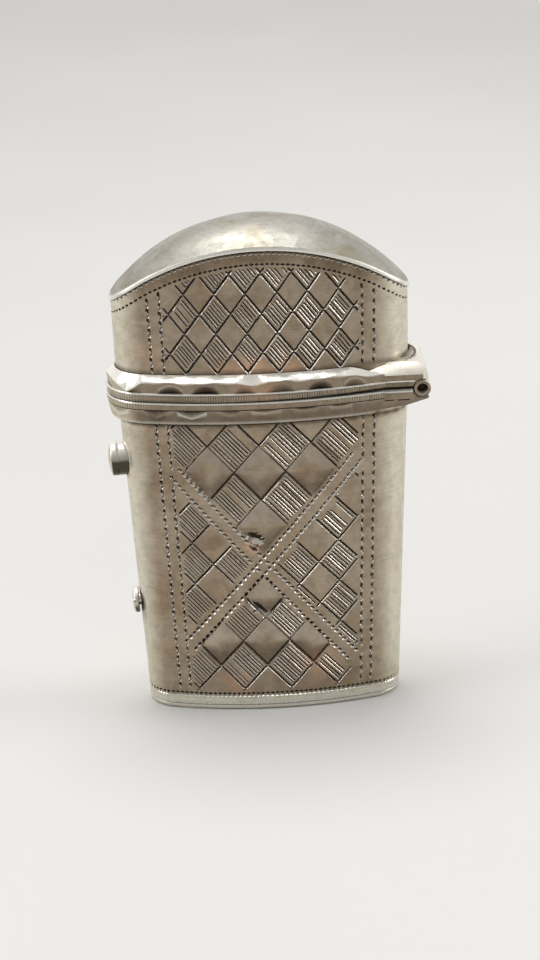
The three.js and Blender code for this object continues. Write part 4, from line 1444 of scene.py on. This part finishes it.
def mount_rows(t, side):
    """Profile of a mount at each true length t: rows of (offset, rise, cut, painted_highlight).

    cut paints shade in the seam, in the scoops, at the joins with the wall and on the body mount's
    underside, and darkens the ticks; painted_highlight is a painted highlight on the fillets, the top
    slopes and some scoops' rims.
    """
    x, y, _, _ = around(t, MOUTH_HALF_WIDTH, MOUTH_HALF_DEPTH)
    front = y < 0
    faded = 0.6 + 0.4 * np.sin(t * 0.31 + side) * np.sin(t * 0.113 + 2.0)
    tick = np.where((t / TICK_PITCH) % 1 < 0.5, 1.0, 0.0) * faded
    moved = t + (0 if side > 0 else 1.9)
    along = moved % SCOOP_PITCH - SCOOP_PITCH / 2
    number = np.floor(moved / SCOOP_PITCH)
    size = 1 + 0.18 * np.sin(number * 2.3)
    strength = 0.72 + 0.28 * np.sin(number * 1.7 + 0.6)
    strength = strength * (1 - 0.5 * np.clip((x - 7) / 5, 0, 1))
    off = (along - 0.25 * np.sin(number * 3.1)) / (SCOOP_HALF * size)
    low = SEAM / 2
    if side > 0:
        gape = np.where(front, np.clip((x + 3) / 17, 0, 1) * 0.3, 0)
        depth = 0.085
        rows = [(SEAT, low, 0.9, 0), (0.95, low, 0.9, 0), (1.27, low + gape, 0.8, 0),
                (MOUNT_PROUD - 0.03 - depth * tick, low + 0.07 + gape, 0.2 + 0.4 * tick, 0)]
        for rise in (0.5, MILLED_BAND - 0.14):
            rows.append((MOUNT_PROUD - depth * tick, rise, 0.1 + 0.45 * tick, 0))
        rows += [(MOUNT_PROUD - 0.06, MILLED_BAND - 0.04, 0.5, 0),
                 (MOUNT_PROUD + 0.06, MILLED_BAND + 0.03, 0, 0.7),
                 (MOUNT_PROUD + 0.10, MILLED_BAND + 0.1, 0, 1),
                 (MOUNT_PROUD + 0.06, MILLED_BAND + 0.18, 0, 1)]
        foot = MILLED_BAND + 0.24
        tooth = np.where(front, np.clip(1 - np.abs(x + 17.2) / 1.6, 0, 1) * 1.3, 0)
        sag = np.where(front, np.clip(1 - ((x + 1.6) / 2.1) ** 2, 0, 1) * 0.28, 0)
        joined = np.clip((x - 10.5) / 6, 0, 1) * 0.6
        edge = 2.68 + 0.07 * np.sin(t * 0.83 + 1.2) + 0.05 * np.sin(t * 2.1) - tooth - sag - joined
        lens = np.clip(1 - off ** 2, 0, 1)
        peak = np.maximum(np.minimum(lens ** 0.8 * 1.12, edge - foot - 0.12), 0)
        lens = lens * np.clip(peak * 2, 0, 1)
        # Scoops: painted shade deep in each, and a painted glint along the top of every fifth
        for share in (0.0, 0.12, 0.3, 0.55, 0.8, 1.0):
            rise = foot + np.where(peak > 0.02, peak * share, 0.02 * share)
            dip = 0.36 * lens * (1 - share) ** 1.2 * strength
            dark = 0.95 * (1 - share) ** 0.9 * lens ** 0.7 * strength + 0.12
            light = np.where((lens > 0.05) & (number % 5 == 1), 0.25 * share ** 5, 0)
            rows.append((MOUNT_FACE - dip, rise, dark, light))
        for share in (0.4, 0.85):
            rise = foot + peak + (np.maximum(edge - 0.05, foot + peak + 0.01) - foot - peak) * share
            rows.append((MOUNT_FACE - 0.02 * share, rise, 0.12, 0))
        rows += [(1.27, edge, 0.05, 0.8), (1.17, edge + 0.1, 0, 1),
                 (0.72, (edge + LID_MOUNT_HEIGHT) / 2, 0, 0.95), (0.27, 3.42, 0, 0.8),
                 (0.18, LID_MOUNT_HEIGHT, 0.3, 0), (SEAT, LID_MOUNT_HEIGHT, 0.7, 0)]
    else:
        rows = [(SEAT, -low, 0.6, 0), (1.12, -low, 0.1, 0.6), (1.27, -(low + 0.05), 0, 1),
                (MOUNT_PROUD, -0.25, 0, 0.9)]
        depth = 0.05
        for rise in (0.31, 0.55, MILLED_BAND - 0.1):
            rows.append((MOUNT_PROUD - depth * tick, -rise, 0.08 + 0.2 * tick, 0))
        rows += [(MOUNT_PROUD - 0.02, -(MILLED_BAND - 0.02), 0.15, 0),
                 (MOUNT_PROUD - 0.13, -(MILLED_BAND + 0.06), 0.95, 0),
                 (MOUNT_PROUD - 0.12, -(MILLED_BAND + 0.13), 0.8, 0)]
        foot = MILLED_BAND + 0.2
        fading = np.where(front, np.clip(0.9 - (x + 8) / 14, 0.25, 1), 1)
        lens = np.clip(1 - np.abs(off), 0, 1) ** 0.75
        peak = lens * 0.95 * fading
        # Scoops: painted shade deep in each, and a painted glint at the far end of every second
        for share in (0.0, 0.15, 0.4, 0.7, 1.0):
            rise = foot + np.where(peak > 0.02, peak * share, 0.02 * share)
            dip = 0.34 * lens * (1 - share) ** 1.2 * strength * fading
            dark = 0.97 * (1 - share) ** 1.1 * np.clip(lens * 1.5, 0, 1) * strength + 0.06
            light = np.where((lens > 0.05) & (number % 2 == 0), 0.6 * share ** 4 * fading, 0)
            rows.append((MOUNT_FACE - 0.06 * (rise - foot) - dip, -rise, dark, light))
        for share in (0.5, 1.0):
            rise = foot + peak + (2.55 - foot - peak) * share
            rows.append((MOUNT_FACE - 0.06 * (rise - foot) - 0.2 * share, -rise, 0.06, 0))
        rows += [(0.92, -2.98, 0, 0.35), (0.85, -3.05, 0, 0.5), (0.76, -3.12, 0.8, 0),
                 (0.42, -3.33, 0.97, 0), (0.3, -BODY_MOUNT_HEIGHT, 1, 0),
                 (SEAT, -BODY_MOUNT_HEIGHT, 1, 0)]
    return [[np.broadcast_to(value, t.shape).astype(float) for value in row] for row in rows]


def mount_piece(name, body, side, node):
    """A mount round the mouth, above it for side 1 and below it for side -1."""
    t = np.arange(0, PERIMETER - 1e-6, TICK_PITCH / 4)
    t = t[(t > MOUNT_GAP) & (t < PERIMETER - MOUNT_GAP)]
    x, y, c, d = around(t, MOUTH_HALF_WIDTH, MOUTH_HALF_DEPTH)
    points, cuts, painted_highlights = [], [], []
    for offset, rise, cut, painted_highlight in mount_rows(t, side):
        z = MOUTH + rise
        seated = np.abs(offset - SEAT) < 1e-6
        wall_x, wall_y, wall_c, wall_d = around(t, *size_at(z))
        px = np.where(seated, wall_x + SEAT * wall_c, x + offset * c)
        py = np.where(seated, wall_y + SEAT * wall_d, y + offset * d)
        points.append(np.stack([px, py, z], -1))
        cuts.append(cut)
        painted_highlights.append(painted_highlight)
    # Each point keeps its cut and highlight numbers: painted shade and painted highlights
    bm = bmesh.new()
    cut_layer = bm.verts.layers.float.new("cut")
    highlight_layer = bm.verts.layers.float.new("painted_highlight")
    grid = []
    for row, cut, painted_highlight in zip(points, cuts, painted_highlights):
        line = []
        for p, dark, light in zip(row, cut, painted_highlight):
            v = bm.verts.new(p)
            v[cut_layer] = dark
            v[highlight_layer] = light
            line.append(v)
        grid.append(line)
    for line, after in zip(grid, grid[1:] + grid[:1]):
        for j in range(len(t) - 1):
            bm.faces.new((line[j], line[j + 1], after[j + 1], after[j]))
    for j in (0, len(t) - 1):
        bm.faces.new([line[j] for line in grid])
    for sign in (-1, 1):
        middles = [(f, f.calc_center_median()) for f in bm.faces]
        geom = [f for f, middle in middles if middle.x > 5 and middle.y * sign > 0]
        edges = dict.fromkeys(e for f in geom for e in f.edges)
        verts = dict.fromkeys(v for f in geom for v in f.verts)
        bmesh.ops.bisect_plane(bm, geom=[*verts, *edges, *geom], dist=1e-5,
                               plane_co=(0, sign * MOUNT_END, 0), plane_no=(0, -sign, 0), clear_outer=True)
    bmesh.ops.edgenet_fill(bm, edges=[e for e in bm.edges if e.is_boundary])
    bmesh.ops.remove_doubles(bm, verts=bm.verts, dist=1e-5)
    bmesh.ops.recalc_face_normals(bm, faces=bm.faces)
    vertices, faces = lists_of(bm)
    extra = {"cut": [v[cut_layer] for v in bm.verts], "painted_highlight": [v[highlight_layer] for v in bm.verts]}
    bm.free()
    new_object(name, vertices, faces, body, (node,), mount_silver, points=extra, sharp=28)


mount_piece("milled_lid_mount", "lid", 1, "lid_mount")
mount_piece("milled_body_mount", "case_body", -1, "body_mount")

# Pieces kept from the frame, with their edges softened


def add_bar(bm, low, high):
    """A small block between two corners."""
    low, high = Vector(low), Vector(high)
    made = bmesh.ops.create_cube(bm, size=1.0)["verts"]
    bmesh.ops.scale(bm, vec=high - low, verts=made)
    bmesh.ops.translate(bm, vec=(low + high) / 2, verts=made)
    return made


def cut_off(bm, point, normal):
    """Removes what lies beyond a plane and closes the cut."""
    geometry = [*bm.verts, *bm.edges, *bm.faces]
    made = bmesh.ops.bisect_plane(bm, geom=geometry, dist=1e-5, plane_co=point, plane_no=normal,
                                  clear_outer=True)
    bm.edges.index_update()
    edges = [e for e in made["geom_cut"] if isinstance(e, bmesh.types.BMEdge)]
    bmesh.ops.edgenet_fill(bm, edges=sorted(edges, key=lambda e: e.index))


LEAF_SLOPE = 1.95
LEAF_TOP = 3.42
SEAM_REACH = 3.6
LEAF_TIP = HINGE_X + 0.86
LEAF_START = 9.8

# Corners of the lid leaf's back, as (reach, rise) in the frame's piece and here
LID_LEAF_BACK = ((0.95, 1.45, 0.86, 1.44), (0.8, 1.5, 0.78, 2.0), (0.4, 1.85, 0.4, 2.8),
                 (-1.9, 2.5, -0.5, 3.34))


def shape_leaf(bm, side):
    """Fills the lid leaf's back out, slopes a leaf's long edges and trims its tip."""
    half = HINGE_LENGTH / 2
    if side > 0:
        for v in bm.verts:
            rise = v.co.z - MOUTH
            if rise < 1.4:
                continue
            reach = v.co.x - HINGE_X
            nearest = min(LID_LEAF_BACK, key=lambda row: math.hypot(reach - row[0], rise - row[1]))
            if math.hypot(reach - nearest[0], rise - nearest[1]) < 0.15:
                v.co.x, v.co.z = HINGE_X + nearest[2], MOUTH + nearest[3]
            elif rise > 2.45:
                v.co.z = MOUTH + LEAF_TOP
    else:
        for turn in (30, 52, 74):
            out = Vector((math.cos(math.radians(turn)), 0, -math.sin(math.radians(turn))))
            cut_off(bm, Vector((HINGE_X, 0, MOUTH)) + out * 1.5, out)
    cut_off(bm, (LEAF_TIP, 0, 0), (1, 0, 0))
    for face in (-1, 1):
        if side > 0:
            cut_off(bm, (0, face * half, MOUTH + LEAF_SLOPE), (0, face, 0.95))
            cut_off(bm, (0, face * half, MOUTH + 0.42), (0, face * 0.5, -0.55))
            cut_off(bm, (LEAF_TIP - 0.75, face * half, 0), (0.75, face * 0.65, 0))
        else:
            cut_off(bm, (0, face * half, MOUTH - 0.4), (0, face * 0.72, 0.7))
            cut_off(bm, (0, face * half, MOUTH - 2.9), (0, face * 0.7, -0.7))
    if side < 0:
        cut_off(bm, (9.5, 0, MOUTH - 3.32), (0.13, 0, -1))


def leaf_edges(bm, side):
    """The milled band and fillet along the lid leaf's sides, or the body leaf's dark lines."""
    far = HINGE_X - BARREL_ROOM - 0.15
    for face in (-1, 1):
        plane = face * HINGE_LENGTH / 2
        if side > 0:
            inner, outer = sorted((plane - face * 0.06, plane + face * 0.08))
            made = add_bar(bm, (LEAF_START, inner, MOUTH + 1.03), (far + 0.5, outer, MOUTH + 1.2))
            edges = list(dict.fromkeys(e for v in made for e in v.link_edges))
            bmesh.ops.bevel(bm, geom=edges, offset=0.04, segments=2, affect="EDGES")
            inner, outer = sorted((plane - face * 0.05, plane + face * 0.02))
            for k in range(int((far - LEAF_START) / TICK_PITCH)):
                x = LEAF_START + (k + 0.5) * TICK_PITCH
                add_bar(bm, (x - 0.07, inner, MOUTH + 0.46), (x + 0.07, outer, MOUTH + 0.98))
        else:
            inner, outer = sorted((plane - face * 0.05, plane + face * 0.028))
            for first, last in ((LEAF_START, 14.2), (14.6, 16.9), (17.3, 18.9)):
                add_bar(bm, (first, inner, MOUTH - 1.47), (last, outer, MOUTH - 1.32))
    if side > 0:
        add_solder(bm)


def add_solder(bm):
    """The solder's thin line on the lid leaf, where it meets the mount's outline."""
    rings = []
    for way in np.linspace(-SEAM_REACH, SEAM_REACH, 48):
        x, y, c, d = around(way % PERIMETER, MOUTH_HALF_WIDTH, MOUTH_HALF_DEPTH)
        beside = [(float(x + out * c), float(y + out * d)) for out in (0.86, 1.14)]
        rings.append([bm.verts.new((*p, MOUTH + LEAF_TOP + lift)) for lift in (-0.05, 0.012)
                      for p in beside])
    for before, after in zip(rings, rings[1:]):
        for k, m in ((0, 1), (1, 3), (3, 2), (2, 0)):
            bm.faces.new((before[k], before[m], after[m], after[k]))
    for end in (rings[0], rings[-1]):
        bm.faces.new([end[k] for k in (0, 1, 3, 2)])


def leaf_shade(side):
    """How dark and how bright a leaf's faces are, from their normals and middles. The solder line, the
    ticks and the dashes are darkened; painted shade lies at the seam and on faces that look down; the
    fronts and backs are a little darker, partly tarnish and partly a painted dark reflection; painted
    highlights lie on the fillet, on the body leaf's slope by the seam and on faces that look up or to the
    right.
    """
    def shade(normal, centre):
        rise = (centre.z - MOUTH) * side
        proud = abs(centre.y) - HINGE_LENGTH / 2
        if side > 0 and rise > LEAF_TOP + 0.001:
            return 0.9, 0.0
        if proud > 0.03:
            return 0.0, 1.0
        if proud > 0.005:
            if side < 0 and rise > 1.0:
                return 0.95, 0.0
            return (0.5, 0.0) if side > 0 else (0.25, 0.0)
        if side > 0 and normal.z < -0.3 and rise < 0.5:
            return 0.93, 0.0
        if side < 0 and normal.z > 0.4 and abs(normal.y) > 0.4 and rise < 0.5:
            return 0.0, 1.0
        if side > 0 and normal.x > 0.25:
            return 0.0, 0.6
        if side < 0 and normal.x > 0.2 and abs(normal.y) < 0.5:
            return 0.0, 0.7
        if abs(normal.y) > 0.9:
            return 0.12, 0.0
        if side < 0 and normal.z < -0.4:
            return 0.45, 0.0
        if side > 0 and normal.z > 0.4:
            return 0.0, 0.12
        return 0.0, 0.0
    return shade


SOFTENED_ANGLE = math.radians(30)
MERGE = 0.004


def softened(name, node, body, material, width, shape=None, extra=None, shade=None):
    """A copy of a frame piece in millimetres, with its sharp edges rounded.

    shape changes it before that, extra adds to it after, and shade gives each face its values.
    """
    bm = bmesh.new()
    bm.from_mesh(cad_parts[node].data)
    bmesh.ops.scale(bm, vec=(1000, 1000, 1000), verts=bm.verts)
    bmesh.ops.remove_doubles(bm, verts=bm.verts, dist=MERGE)
    bmesh.ops.dissolve_limit(bm, angle_limit=math.radians(1.0), verts=bm.verts, edges=bm.edges)
    if shape is not None:
        shape(bm)
    bmesh.ops.recalc_face_normals(bm, faces=bm.faces)
    sharp = [e for e in bm.edges if e.is_manifold and e.calc_face_angle() > SOFTENED_ANGLE]
    bmesh.ops.bevel(bm, geom=sharp, offset=width, segments=2, profile=0.5, affect="EDGES",
                    clamp_overlap=True, offset_type="OFFSET")
    if extra is not None:
        extra(bm)
    bmesh.ops.recalc_face_normals(bm, faces=bm.faces)
    vertices, faces = lists_of(bm)
    corners = None
    if shade is not None:
        values = [shade(f.normal, f.calc_center_median()) for f in bm.faces for _ in f.verts]
        corners = {"cut": [v[0] for v in values], "painted_highlight": [v[1] for v in values]}
    bm.free()
    return new_object(name, vertices, faces, body, (node,), material, corners=corners, sharp=40)


for name, node, body, side in (("lid_leaf", "lid_hinge_leaf", "lid", 1),
                               ("body_leaf", "body_hinge_leaf", "case_body", -1)):
    softened(name, node, body, hinge_silver, 0.06, shape=lambda bm: shape_leaf(bm, side),
             extra=lambda bm: leaf_edges(bm, side), shade=leaf_shade(side))
softened("gilt_bezel", "mouth_bezel", "case_body", gilt, 0.05)
softened("gilt_sleeve", "liner_sleeve", "case_body", gilt, 0.06)
softened("gilt_floor", "liner_floor", "case_body", gilt, 0.05)
blade = softened("spring_blade", "catch_blade", None, steel, 0.05)
softened("catch_tooth", "catch_nose", "catch", steel, 0.06)
softened("screw_block", "spring_foot", "case_body", steel, 0.12)

# Hinge barrel

barrel = Matrix.Translation((HINGE_X, 0, MOUTH)) @ Matrix.Rotation(math.pi / 2, 4, "Z")
pitch = HINGE_LENGTH / KNUCKLE_COUNT
knuckles = (("lid_front_knuckle", "lid"), ("body_front_knuckle", "case_body"),
            ("lid_middle_knuckle", "lid"), ("body_rear_knuckle", "case_body"),
            ("lid_rear_knuckle", "lid"))
bore = PIN_RADIUS + 0.08
soft = 0.1
end_profile = ((bore, soft), (bore + soft * 0.6, 0.0), (KNUCKLE_RADIUS - soft, 0.0),
               (KNUCKLE_RADIUS - soft * 0.3, soft * 0.3), (KNUCKLE_RADIUS, soft))
for index, (node, body) in enumerate(knuckles):
    low = -HINGE_LENGTH / 2 + index * pitch + (KNUCKLE_GAP / 2 if index > 0 else 0)
    high = -HINGE_LENGTH / 2 + (index + 1) * pitch - (KNUCKLE_GAP / 2 if index < KNUCKLE_COUNT - 1 else 0)
    profile = [(r, low + t) for r, t in end_profile] + [(r, high - t) for r, t in end_profile[::-1]]
    turned_piece("turned_" + node, profile, barrel, body, node, hinge_silver, 64)

end = HINGE_LENGTH / 2 - PIN_RECESS
end_profile = ((0.0, 0.0), (PIN_RADIUS * 0.5, 0.02), (PIN_RADIUS * 0.85, 0.1), (PIN_RADIUS, 0.25))
profile = [(r, -end + t) for r, t in end_profile] + [(r, end - t) for r, t in end_profile[::-1]]
turned_piece("turned_pin", profile, barrel, "lid", "hinge_pin", pin_steel, 48)

# Push button and screw, in the left wall's frame

back = BLADE_FROM - SEAT
blade_to = BLADE_FROM + BLADE_THICKNESS
tail = blade_to + SEAT
dome_radius = (BUTTON_RADIUS ** 2 + BUTTON_DOME ** 2) / (2 * BUTTON_DOME)
crown = 0.01 - BUTTON_OUT
rim_at = crown + BUTTON_DOME
profile = [(0.0, crown)]
for k in range(1, 9):
    r = (BUTTON_RADIUS - 0.12) * k / 8
    profile.append((r, crown + dome_radius - math.sqrt(dome_radius ** 2 - r * r)))
profile += [(BUTTON_RADIUS - inwards, at) for inwards, at in (
    (0.04, rim_at + 0.02), (0.0, rim_at + 0.14), (0.0, -0.86), (0.01, -0.83), (0.04, -0.72), (0.04, -0.68),
    (0.01, -0.57), (0.0, -0.54), (0.0, WALL - 0.12), (0.12, WALL), (0.5, WALL), (0.5, back))]
profile += [(0.7, back), (0.7, tail), (1.15, tail), (0.69, tail + 0.5), (0.0, tail + 0.5)]
turned_piece("turned_button", profile, on_wall(BUTTON_Z), "catch", "push_button",
             plain_silver, 96)

head = -SCREW_HEAD - SCREW_HEAD_GAP
shank_end = tail + SPRING_FOOT - 0.1
profile = [(r, head + fall) for r, fall in (
    (0.0, 0.0), (0.7, 0.02), (1.2, 0.07), (1.55, 0.16), (1.72, 0.26), (SCREW_HEAD_RADIUS, 0.42))]
profile += [(SCREW_HEAD_RADIUS, -SCREW_HEAD_GAP - 0.08), (SCREW_HEAD_RADIUS - 0.08, -SCREW_HEAD_GAP),
            (SCREW_SHANK, -SCREW_HEAD_GAP), (SCREW_SHANK, shank_end - 0.1),
            (SCREW_SHANK - 0.1, shank_end), (0.0, shank_end)]
screw = turned_piece("slotted_screw", profile, on_wall(SCREW_Z), "case_body",
                     "spring_screw", screw_steel, 96)


def cut_box(thing, size, matrix, dark):
    """Cuts a box, in millimetres, out of a piece, and paints shade on the cut's sides."""
    bm = bmesh.new()
    bmesh.ops.create_cube(bm, size=1.0)
    bmesh.ops.scale(bm, vec=size, verts=bm.verts)
    bmesh.ops.transform(bm, matrix=matrix, verts=bm.verts)
    bmesh.ops.scale(bm, vec=(MM, MM, MM), verts=bm.verts)
    mesh = bpy.data.meshes.new("cutter")
    bm.to_mesh(mesh)
    bm.free()
    cutter = in_scene("cutter", mesh)
    modifier = thing.modifiers.new("slot", "BOOLEAN")
    modifier.operation = "DIFFERENCE"
    modifier.solver = "EXACT"
    modifier.object = cutter
    shaped = bpy.data.meshes.new_from_object(thing.evaluated_get(bpy.context.evaluated_depsgraph_get()))
    thing.modifiers.clear()
    thing.data = shaped
    bpy.data.objects.remove(cutter)
    inside = matrix.inverted()
    cut = shaped.attributes.new("cut", "FLOAT", "CORNER")
    for face in shaped.polygons:
        middle = inside @ (face.center / MM)
        if all(abs(c) < width / 2 + 0.01 for c, width in zip(middle, size)):
            for corner in face.loop_indices:
                cut.data[corner].value = dark


# The screw's slot, with painted shade on its sides
slot_size = (2 * SCREW_SLOT_DEPTH, 5.0, SCREW_SLOT_WIDTH)
slot_turn = Matrix.Rotation(-SCREW_SLOT_TURN, 4, "X")
cut_box(screw, slot_size, on_wall(SCREW_Z) @ Matrix.Translation((head, 0, 0)) @ slot_turn, 0.9)
screw.data.set_sharp_from_angle(angle=math.radians(TURNED_SHARP))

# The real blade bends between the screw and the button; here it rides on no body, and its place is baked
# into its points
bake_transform(blade)

# Stage, light and camera

LIGHT_COLOUR = (1, 0.99, 0.97)
WORLD_STRENGTH = 0.34
FLOOR_HALF = 2.5

paper = Nodes(bpy.data.materials.new("paper"))
shader = paper.tree.nodes["Principled BSDF"]
cloudy = paper.ramp(paper.noise(0.004, 3), 0.3, 0.7)
paper.set(shader.inputs["Base Color"], paper.mix(cloudy, (0.74, 0.735, 0.73), (0.80, 0.795, 0.785)))
paper.set(shader.inputs["Roughness"], 0.85)
away = paper.ramp(paper.vector("LENGTH", paper.place, (0, 0, 0)), 260.0, 1500.0)
glow = paper.add("Emission")
paper.set(glow.inputs["Color"], LIGHT_COLOUR)
joined = paper.add("MixShader")
parts = (paper.value("MULTIPLY", away, paper.seen()), shader.outputs[0], glow.outputs[0])
for socket, part in zip(joined.inputs, parts):
    paper.set(socket, part)
paper.set(paper.tree.nodes["Material Output"].inputs["Surface"], joined.outputs[0])

mesh = bpy.data.meshes.new("floor")
corners = [(x * FLOOR_HALF, y * FLOOR_HALF, 0) for x, y in ((-1, -1), (1, -1), (1, 1), (-1, 1))]
mesh.from_pydata(corners, [], [(0, 1, 2, 3)])
mesh.materials.append(paper.owner)
sheet = in_scene("floor", mesh)

world = bpy.data.worlds.new("studio")
bpy.context.scene.world = world
sky = Nodes(world)
dim = sky.ramp(sky.split(sky.where["Generated"])["Y"], -0.9, 0.35, 0.42, 1.0)
strength = sky.add("Mix")
strength.data_type = "FLOAT"
for index, value in ((0, sky.seen()), (2, WORLD_STRENGTH), (3, dim)):
    sky.set(strength.inputs[index], value)
background = sky.tree.nodes["Background"].inputs
sky.set(background["Strength"], strength.outputs[0])
sky.set(background["Color"], LIGHT_COLOUR)


def soft_lamp(name, place_at, size, power, colour=(1, 1, 1)):
    """A round soft lamp that points at the case."""
    lamp = bpy.data.lights.new(name, "AREA")
    lamp.shape = "DISK"
    lamp.size = size
    lamp.energy = power
    lamp.color = colour
    thing = in_scene(name, lamp)
    thing.location = place_at
    aim = Vector(place_at) - Vector((0, 0, 0.03))
    thing.rotation_euler = aim.to_track_quat("Z", "Y").to_euler()


soft_lamp("top", (-0.05, 0.12, 0.75), 0.5, 3.4, (1.0, 0.98, 0.95))
soft_lamp("left", (-0.6, -0.1, 0.35), 0.35, 1.1)
soft_lamp("right", (0.6, 0.0, 0.3), 0.3, 1.3)

FOCAL_PIXELS = 2500.0
PHOTO_HEIGHT = 960
ELEVATION = math.radians(20.4)
AZIMUTH = math.radians(1.5)
ROLL = math.radians(-2.3)
DISTANCE = 334.8
TARGET = Vector((0.45, 0, 30.75))

backwards = Vector((-math.sin(AZIMUTH) * math.cos(ELEVATION), -math.cos(AZIMUTH) * math.cos(ELEVATION),
                    math.sin(ELEVATION)))
level_right = (-backwards).cross(Vector((0, 0, 1))).normalized()
level_up = level_right.cross(-backwards)
right = level_right * math.cos(ROLL) + level_up * math.sin(ROLL)
up = level_up * math.cos(ROLL) - level_right * math.sin(ROLL)
pose = Matrix((right, up, backwards)).transposed().to_4x4()
pose.translation = (TARGET + backwards * DISTANCE) * MM
lens = bpy.data.cameras.new("camera")
lens.sensor_width = 36
lens.lens = FOCAL_PIXELS / PHOTO_HEIGHT * lens.sensor_width
lens.clip_start = 0.01
camera = in_scene("camera", lens)
camera.matrix_world = pose
bpy.context.scene.camera = camera
bpy.context.scene.view_settings.view_transform = "Standard"
